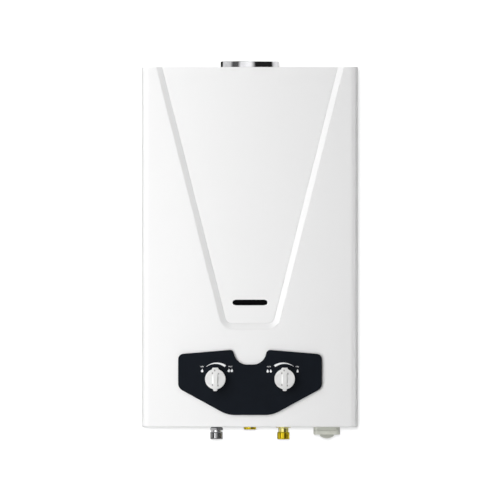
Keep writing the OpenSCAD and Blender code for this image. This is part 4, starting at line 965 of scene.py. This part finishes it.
class HEATER_OT_battery_cover(bpy.types.Operator):
    """Build the battery cover with its half-round grip and hinge"""

    bl_idname = "heater.battery_cover"
    bl_label = "Battery cover"

    def execute(self, context):
        box_low, box_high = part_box("battery_box")
        x = (box_low.x + box_high.x) / 2 / MM
        w = (box_high.x - box_low.x) / 2 / MM
        base = (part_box("battery_cover")[0].z - COVER_LOW.z) / MM + GRIP_DROP
        y0, y1 = box_low.y / MM, box_high.y / MM - HINGE_ROOM
        plan = rounded_outline(np.array([(x - w, y0), (x + w, y0), (x + w, y1), (x - w, y1)]) * MM,
                               np.array([7, 7, 2.5, 2.5]) * MM)
        stages = np.array([(1.4, 0), (0.7, 0.05), (0.3, 0.2), (0.1, 0.5), (0, 0.9), (0, 6.9), (0.25, 7.2),
                           (1.75, 7.2), (2.0, 6.9), (2.0, 3.9), (2.35, 3.5)]) + [0, base]
        patches = [*capped(cover_rings(plan, stages)), *self.grip(x, y0, base), *self.knuckle(x, y1, base)]
        lid = make_piece("battery_lid_shell", patches, "grey_plastic", body="battery_lid",
                         replaces=("battery_cover",))
        # Painted shade: the grip that hangs below the lid's base darkens towards two thirds of the grey
        below = COVER_LOW.z + base * MM - vertex_places(lid.data)[:, 2]
        set_share(lid.data, "painted_grip_shade", np.clip(2 * below / MM + 1, 0, 1))
        return {"FINISHED"}

    def grip(self, x, y0, base):
        """Half-round finger grip: a circle segment carried along the depth, with rounded ends."""
        angle = np.radians(np.linspace(-131, -49, 57))
        arc = join(GRIP_RADIUS * np.cos(angle), base + GRIP_MIDDLE + GRIP_RADIUS * np.sin(angle))
        arc = np.concatenate([arc, join(np.linspace(GRIP_HALF, -GRIP_HALF, 25), base + 0.9)])
        edge = ((1.7, 0.9), (1.25, 0.45), (1.05, 0.15), (1.0, 0.0))
        stages = [(10.0 - depth, i) for depth, i in edge] + [(2.0 - depth, i) for depth, i in edge[::-1]]
        rings = [on_front(inset(arc * MM, i * MM) + [x * MM, 0], (y0 + y) * MM) for y, i in stages]
        return capped(np.stack(rings))

    def knuckle(self, x, y1, base):
        """Hinge knuckle: a bored cylinder along X with a tongue towards the lid, as a ring between the bore
        and an outline that is the larger of a circle and a rectangle about the pin."""
        angle = np.linspace(0, 2 * np.pi, 64, endpoint=False)
        c, s = np.cos(angle), np.sin(angle)
        tongue = np.minimum(TONGUE / np.maximum(-c, 1e-6), KNUCKLE_RADIUS / np.maximum(-s, 1e-6))
        outer = np.where((c < 0) & (s < 0), np.maximum(KNUCKLE_RADIUS, tongue), KNUCKLE_RADIUS)
        loops = [(KNUCKLE_BORE, -1), (outer, -1), (outer, 1), (KNUCKLE_BORE, 1)]
        rings = [join(x + end * KNUCKLE_HALF, y1 + PIN_BACK + r * c, base + PIN_RISE + r * s) for r, end in loops]
        return [surface(np.stack(rings, 1) * MM, True, True)]


# Return spring

class HEATER_OT_return_spring(bpy.types.Operator):
    """Build the return spring, coiled about the push rod"""

    bl_idname = "heater.return_spring"
    bl_label = "Return spring"

    def execute(self, context):
        """Round wire whose middle turns evenly about the rod's axis: along X by the share of the turns, and
        across by the coil's radius, each with the wire's own circle added."""
        turns, thick = 4, 0.6 * MM
        low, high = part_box("push_rod_spring")
        y, z = (low.y + high.y) / 2, (low.z + high.z) / 2 - COVER_LOW.z
        turn = np.linspace(0, turns, 48 * turns + 1)[:, None]
        around = np.linspace(0, 2 * np.pi, 12, endpoint=False)
        reach = (high.z - low.z) / 2 - thick + thick * np.cos(around)
        along = low.x + thick + (high.x - low.x - 2 * thick) * turn / turns + thick * np.sin(around)
        angle = 2 * np.pi * turn
        rings = join(along, y + reach * np.cos(angle), z + reach * np.sin(angle))
        spring = make_piece("return_spring", capped(rings), "plain_steel", body=None,
                            replaces=("push_rod_spring",))
        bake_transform(spring)
        return {"FINISHED"}


# Finishes of the pieces that keep their CAD shape

KEPT_NODES = {
    "white_enamel": ("top_plate",),
    "galvanised_sheet": ("back_plate", "bottom_plate", "draught_hood", "draught_baffle", "burner_tray",
                         "core_brackets"),
    "plain_steel": ("cover_screws", "sight_frame", "burner_bars", "gas_riser", "electrode_brackets",
                    "electrode_rods", "push_rod", "solenoid_valve", "microswitch_lever", "valve_screws",
                    "battery_hinge_pin"),
    "brass": ("gas_spindle", "water_spindle", "gas_gland_nut", "water_gland_nut", "injectors", "gas_valve_cap",
              "gas_seat", "water_valve_body", "water_valve_cover"),
    "bright_plate": ("inlet_strainer", "battery_contacts", "battery_bridge"),
    "copper": ("combustion_chamber", "chamber_coil", "exchanger_fins", "exchanger_tubes", "hot_pipe", "cold_pipe"),
    "dark_glass": ("sight_glass",),
    "mica": ("chamber_mica",),
    "cast_alloy": ("gas_valve_body", "gas_manifold"),
    "diaphragm_rubber": ("diaphragm",),
    "electrode_ceramic": ("electrode_ceramics",),
    "black_plastic": ("igniter_box", "microswitch", "overheat_thermostat"),
    "lead_sheath": ("ignition_leads",),
    "grey_plastic": ("battery_box",),
}


class HEATER_OT_inner_finishes(bpy.types.Operator):
    """Give every piece that keeps its CAD shape its finish"""

    bl_idname = "heater.inner_finishes"
    bl_label = "Finishes of the kept pieces"

    def execute(self, context):
        for name, nodes in KEPT_NODES.items():
            for node in nodes:
                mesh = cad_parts[node].data
                mesh.materials.clear()
                mesh.materials.append(finish(name))
        return {"FINISHED"}


# Stage

# Share of a full turn and brightness of the panels that reflections show
STUDIO_PANELS = [(0.00, 0.90), (0.03, 0.02), (0.115, 0.02), (0.135, 0.70), (0.265, 0.66), (0.30, 0.10),
                 (0.365, 0.10), (0.40, 1.0), (0.51, 1.0), (0.56, 0.015), (0.765, 0.015), (0.80, 0.80),
                 (0.97, 0.82), (1.0, 0.90)]
PORTS = (0.0, -0.08, -0.315)
INLETS = ("gas_inlet", "cold_inlet")
# Lamps that light all or the named pieces: name, place, aim, power, size and pieces
LAMPS = (
    ("key", (-0.68, -1.1, -0.06), (0.0, -0.15, -0.06), 25.0, (0.9, 3.0), ()),
    ("top", (0.0, 0.1, 1.5), (0.0, -0.05, 0.3), 10.0, (1.6, 0.3), ()),
    ("right", (1.5, 0.0, 0.0), (0.18, -0.06, 0.0), 7.0, (0.14, 2.4), ()),
    ("shadow", (-0.22, -27.8, 0.70), (0.0, 0.0, 0.0), 7600.0, (1.5, 1.5), ("backdrop",)),
)
# Lamps that show only in the gloss of the named pieces
SHEENS = (
    ("edge_sheen", (1.05, -0.62, -0.03), (0.17, -0.14, -0.03), 9.0, (0.40, 1.9), ("cover_sheet",)),
    ("recess_sheen", (-1.0, -0.75, -0.03), (0.06, -0.14, -0.03), 6.0, (0.45, 1.9), ("cover_sheet",)),
    ("knob_sheen", (-1.0, -0.55, -0.10), (0.0, -0.16, -0.22), 35.0, (0.30, 0.5),
     ("gas_knob_shell", "water_knob_shell")),
    ("nut_left", (-0.70, -0.62, -0.52), PORTS, 0.25, (0.42, 0.5), ("outlet_nut",)),
    ("nut_right", (0.70, -0.62, -0.52), PORTS, 0.13, (0.70, 0.5), ("outlet_nut", "hot_outlet")),
    ("outlet_left", (-0.56, -0.87, -0.33), PORTS, 1.0, (0.26, 0.5), ("hot_outlet",)),
    ("brass_left", (-0.90, -0.30, -0.45), PORTS, 0.38, (0.60, 0.5), INLETS),
    ("brass_front", (-0.56, -0.87, -0.33), PORTS, 0.28, (0.28, 0.5), INLETS),
    ("brass_right", (0.90, -0.35, -0.52), PORTS, 0.32, (0.80, 0.5), INLETS),
)
SENSOR_WIDTH = 36.0


def mix_shaders(tree, factor, first, second):
    return add_node(tree, "MixShader", "Shader", {0: factor, 1: first, 2: second})


def background(tree, strength, shade=(1.0, 1.0, 1.0, 1.0)):
    return add_node(tree, "Background", "Background", {"Strength": strength, "Color": shade})


def studio_world(world):
    """White background for the camera and through glass, upright studio panels for reflections, and an even
    fill for everything else. The panels follow the angle about the upright axis."""
    world.use_nodes = True
    tree = world.node_tree
    tree.nodes.clear()
    out = tree.nodes.new("ShaderNodeOutputWorld")
    path = tree.nodes.new("ShaderNodeLightPath").outputs
    place = stretched(tree, add_node(tree, "TexCoord", "Generated"), (1.0, -1.0, 1.0))
    x = add_node(tree, "SeparateXYZ", "X", {"Vector": place})
    turn = add_node(tree, "Math", "Value", {0: x, 1: x.node.outputs["Y"]}, operation="ARCTAN2")
    share = span(tree, turn, 0.0, 1.0, -math.pi, math.pi)
    panels = ramp(tree, share, [(p, (v, v, v)) for p, v in STUDIO_PANELS])
    rays = {0: path["Is Camera Ray"], 1: path["Is Transmission Ray"]}
    seen = add_node(tree, "Math", "Value", rays, operation="MAXIMUM")
    glossy = mix_shaders(tree, path["Is Glossy Ray"], background(tree, 0.24), background(tree, 1.0, panels))
    wire(tree, out, {"Surface": mix_shaders(tree, seen, glossy, background(tree, 1.0))})


def white_finish(name, white):
    """Pale coat that the camera sees as white, apart from a share of its lit colour, which keeps the
    shadow. It can be seen through from its back."""
    material, tree, shader, place = start_finish(name, roughness=0.8)
    base = bpy.context.scene.heater_colours.floor
    set_colour(tree, shader, noise(tree, place, 3.0), tone(base, 0.99), tone(base, 1.01))
    share = span(tree, add_node(tree, "LightPath", "Is Camera Ray"), 0.0, white, 0.0, 1.0)
    pale = mix_shaders(tree, share, shader.outputs["BSDF"], add_node(tree, "Emission", "Emission"))
    clear = add_node(tree, "BsdfTransparent", "BSDF")
    behind = add_node(tree, "NewGeometry", "Backfacing")
    wire(tree, tree.nodes["Material Output"], {"Surface": mix_shaders(tree, behind, pale, clear)})
    return material


def stage_card(name, corner, across, up, material):
    """Flat card of the stage: corner + u * across + v * up, where the shares u and v run from 0 to 1."""
    share = np.linspace(0, 1, 9)[:, None]
    points, quads = surface(np.array(corner) + share[:, None] * across + share * up)
    mesh = bpy.data.meshes.new(name)
    mesh.from_pydata(points.tolist(), [], quads.tolist())
    mesh.materials.append(material)
    card = bpy.data.objects.new(name, mesh)
    bpy.context.scene.collection.objects.link(card)
    return card


def lamp(name, place, aim, power, size, pieces, sheen):
    """Soft rectangular lamp. A sheen lamp shows in gloss alone and any other in all but gloss, on the named
    pieces, or on all if none is named."""
    data = bpy.data.lights.new(name, "AREA")
    data.energy, data.shape = power, "RECTANGLE"
    data.size, data.size_y = size
    light = bpy.data.objects.new(name, data)
    back = (Vector(place) - Vector(aim)).normalized()
    right = Vector((0, 0, 1)).cross(back).normalized()
    turn = Matrix((right, back.cross(right), back)).transposed().to_4x4()
    light.matrix_world = Matrix.Translation(place) @ turn
    light.visible_glossy = sheen
    light.visible_diffuse = not sheen
    light.visible_camera = False
    bpy.context.scene.collection.objects.link(light)
    if pieces:
        group = bpy.data.collections.new(name + "_pieces")
        for piece in pieces:
            group.objects.link(bpy.data.objects[piece])
        light.light_linking.receiver_collection = group


class HEATER_OT_stage(bpy.types.Operator):
    """Set up the world, the pale floor and backdrop, the soft light from the left and the camera"""

    bl_idname = "heater.stage"
    bl_label = "Stage, light and camera"

    def execute(self, context):
        scene, sizes = context.scene, context.scene.heater_sizes
        scene.view_settings.view_transform = "Standard"
        scene.world = bpy.data.worlds.new("studio")
        studio_world(scene.world)

        # A level floor well below the heater, and a backdrop just behind it, which the camera alone sees
        stage_card("floor", (-15, -15, -0.9), (30, 0, 0), (0, 30, 0), white_finish("pale_floor", 0.8))
        drop = stage_card("backdrop", (-1.2, 0.004, -0.85), (2.4, 0, 0), (0, 0, 2.05),
                          white_finish("pale_backdrop", 0.45))
        drop.visible_diffuse = drop.visible_glossy = drop.visible_transmission = drop.visible_shadow = False

        # A narrow black card beside the left edge, which isn't seen and keeps a part of the light off it
        flag = stage_card("flag", (-0.185, -0.166, -0.31), (0, 0.034, 0), (0, 0, 0.63), finish("black_plastic"))
        flag.visible_camera = flag.visible_diffuse = flag.visible_glossy = flag.visible_transmission = False

        for row in LAMPS:
            lamp(*row, sheen=False)
        for row in SHEENS:
            lamp(*row, sheen=True)
        data = bpy.data.cameras.new("front_view")
        data.lens, data.sensor_width = sizes.lens, SENSOR_WIDTH
        data.clip_end = 1000.0
        camera = bpy.data.objects.new("front_view", data)
        distance = sizes.view_width * sizes.lens / SENSOR_WIDTH
        camera.location = (0.0, -sizes.case_depth - distance, COVER_LOW.z + sizes.view_rise)
        camera.rotation_euler = (math.pi / 2, 0.0, 0.0)
        scene.collection.objects.link(camera)
        scene.camera = camera
        return {"FINISHED"}


class HEATER_PT_pieces(bpy.types.Panel):
    bl_label = "Gas water heater"
    bl_idname = "HEATER_PT_pieces"
    bl_space_type = "VIEW_3D"
    bl_region_type = "UI"
    bl_category = "Heater"

    def draw(self, context):
        for operator in OPERATORS:
            self.layout.operator(operator.bl_idname)


OPERATORS = (HEATER_OT_front_cover, HEATER_OT_fascia, HEATER_OT_knobs, HEATER_OT_printing,
             HEATER_OT_fittings, HEATER_OT_battery_cover, HEATER_OT_return_spring, HEATER_OT_inner_finishes,
             HEATER_OT_stage)
CLASSES = (HeaterSizes, HeaterColours, *OPERATORS, HEATER_PT_pieces)


def register():
    for cls in CLASSES:
        bpy.utils.register_class(cls)
    bpy.types.Scene.heater_sizes = PointerProperty(type=HeaterSizes)
    bpy.types.Scene.heater_colours = PointerProperty(type=HeaterColours)


def unregister():
    del bpy.types.Scene.heater_sizes
    del bpy.types.Scene.heater_colours
    for cls in reversed(CLASSES):
        bpy.utils.unregister_class(cls)


def main():
    register()
    bpy.ops.heater.front_cover()
    bpy.ops.heater.fascia()
    bpy.ops.heater.knobs()
    bpy.ops.heater.printing()
    bpy.ops.heater.fittings()
    bpy.ops.heater.battery_cover()
    bpy.ops.heater.return_spring()
    bpy.ops.heater.inner_finishes()
    bpy.ops.heater.stage()


if __name__ == "__main__":
    main()
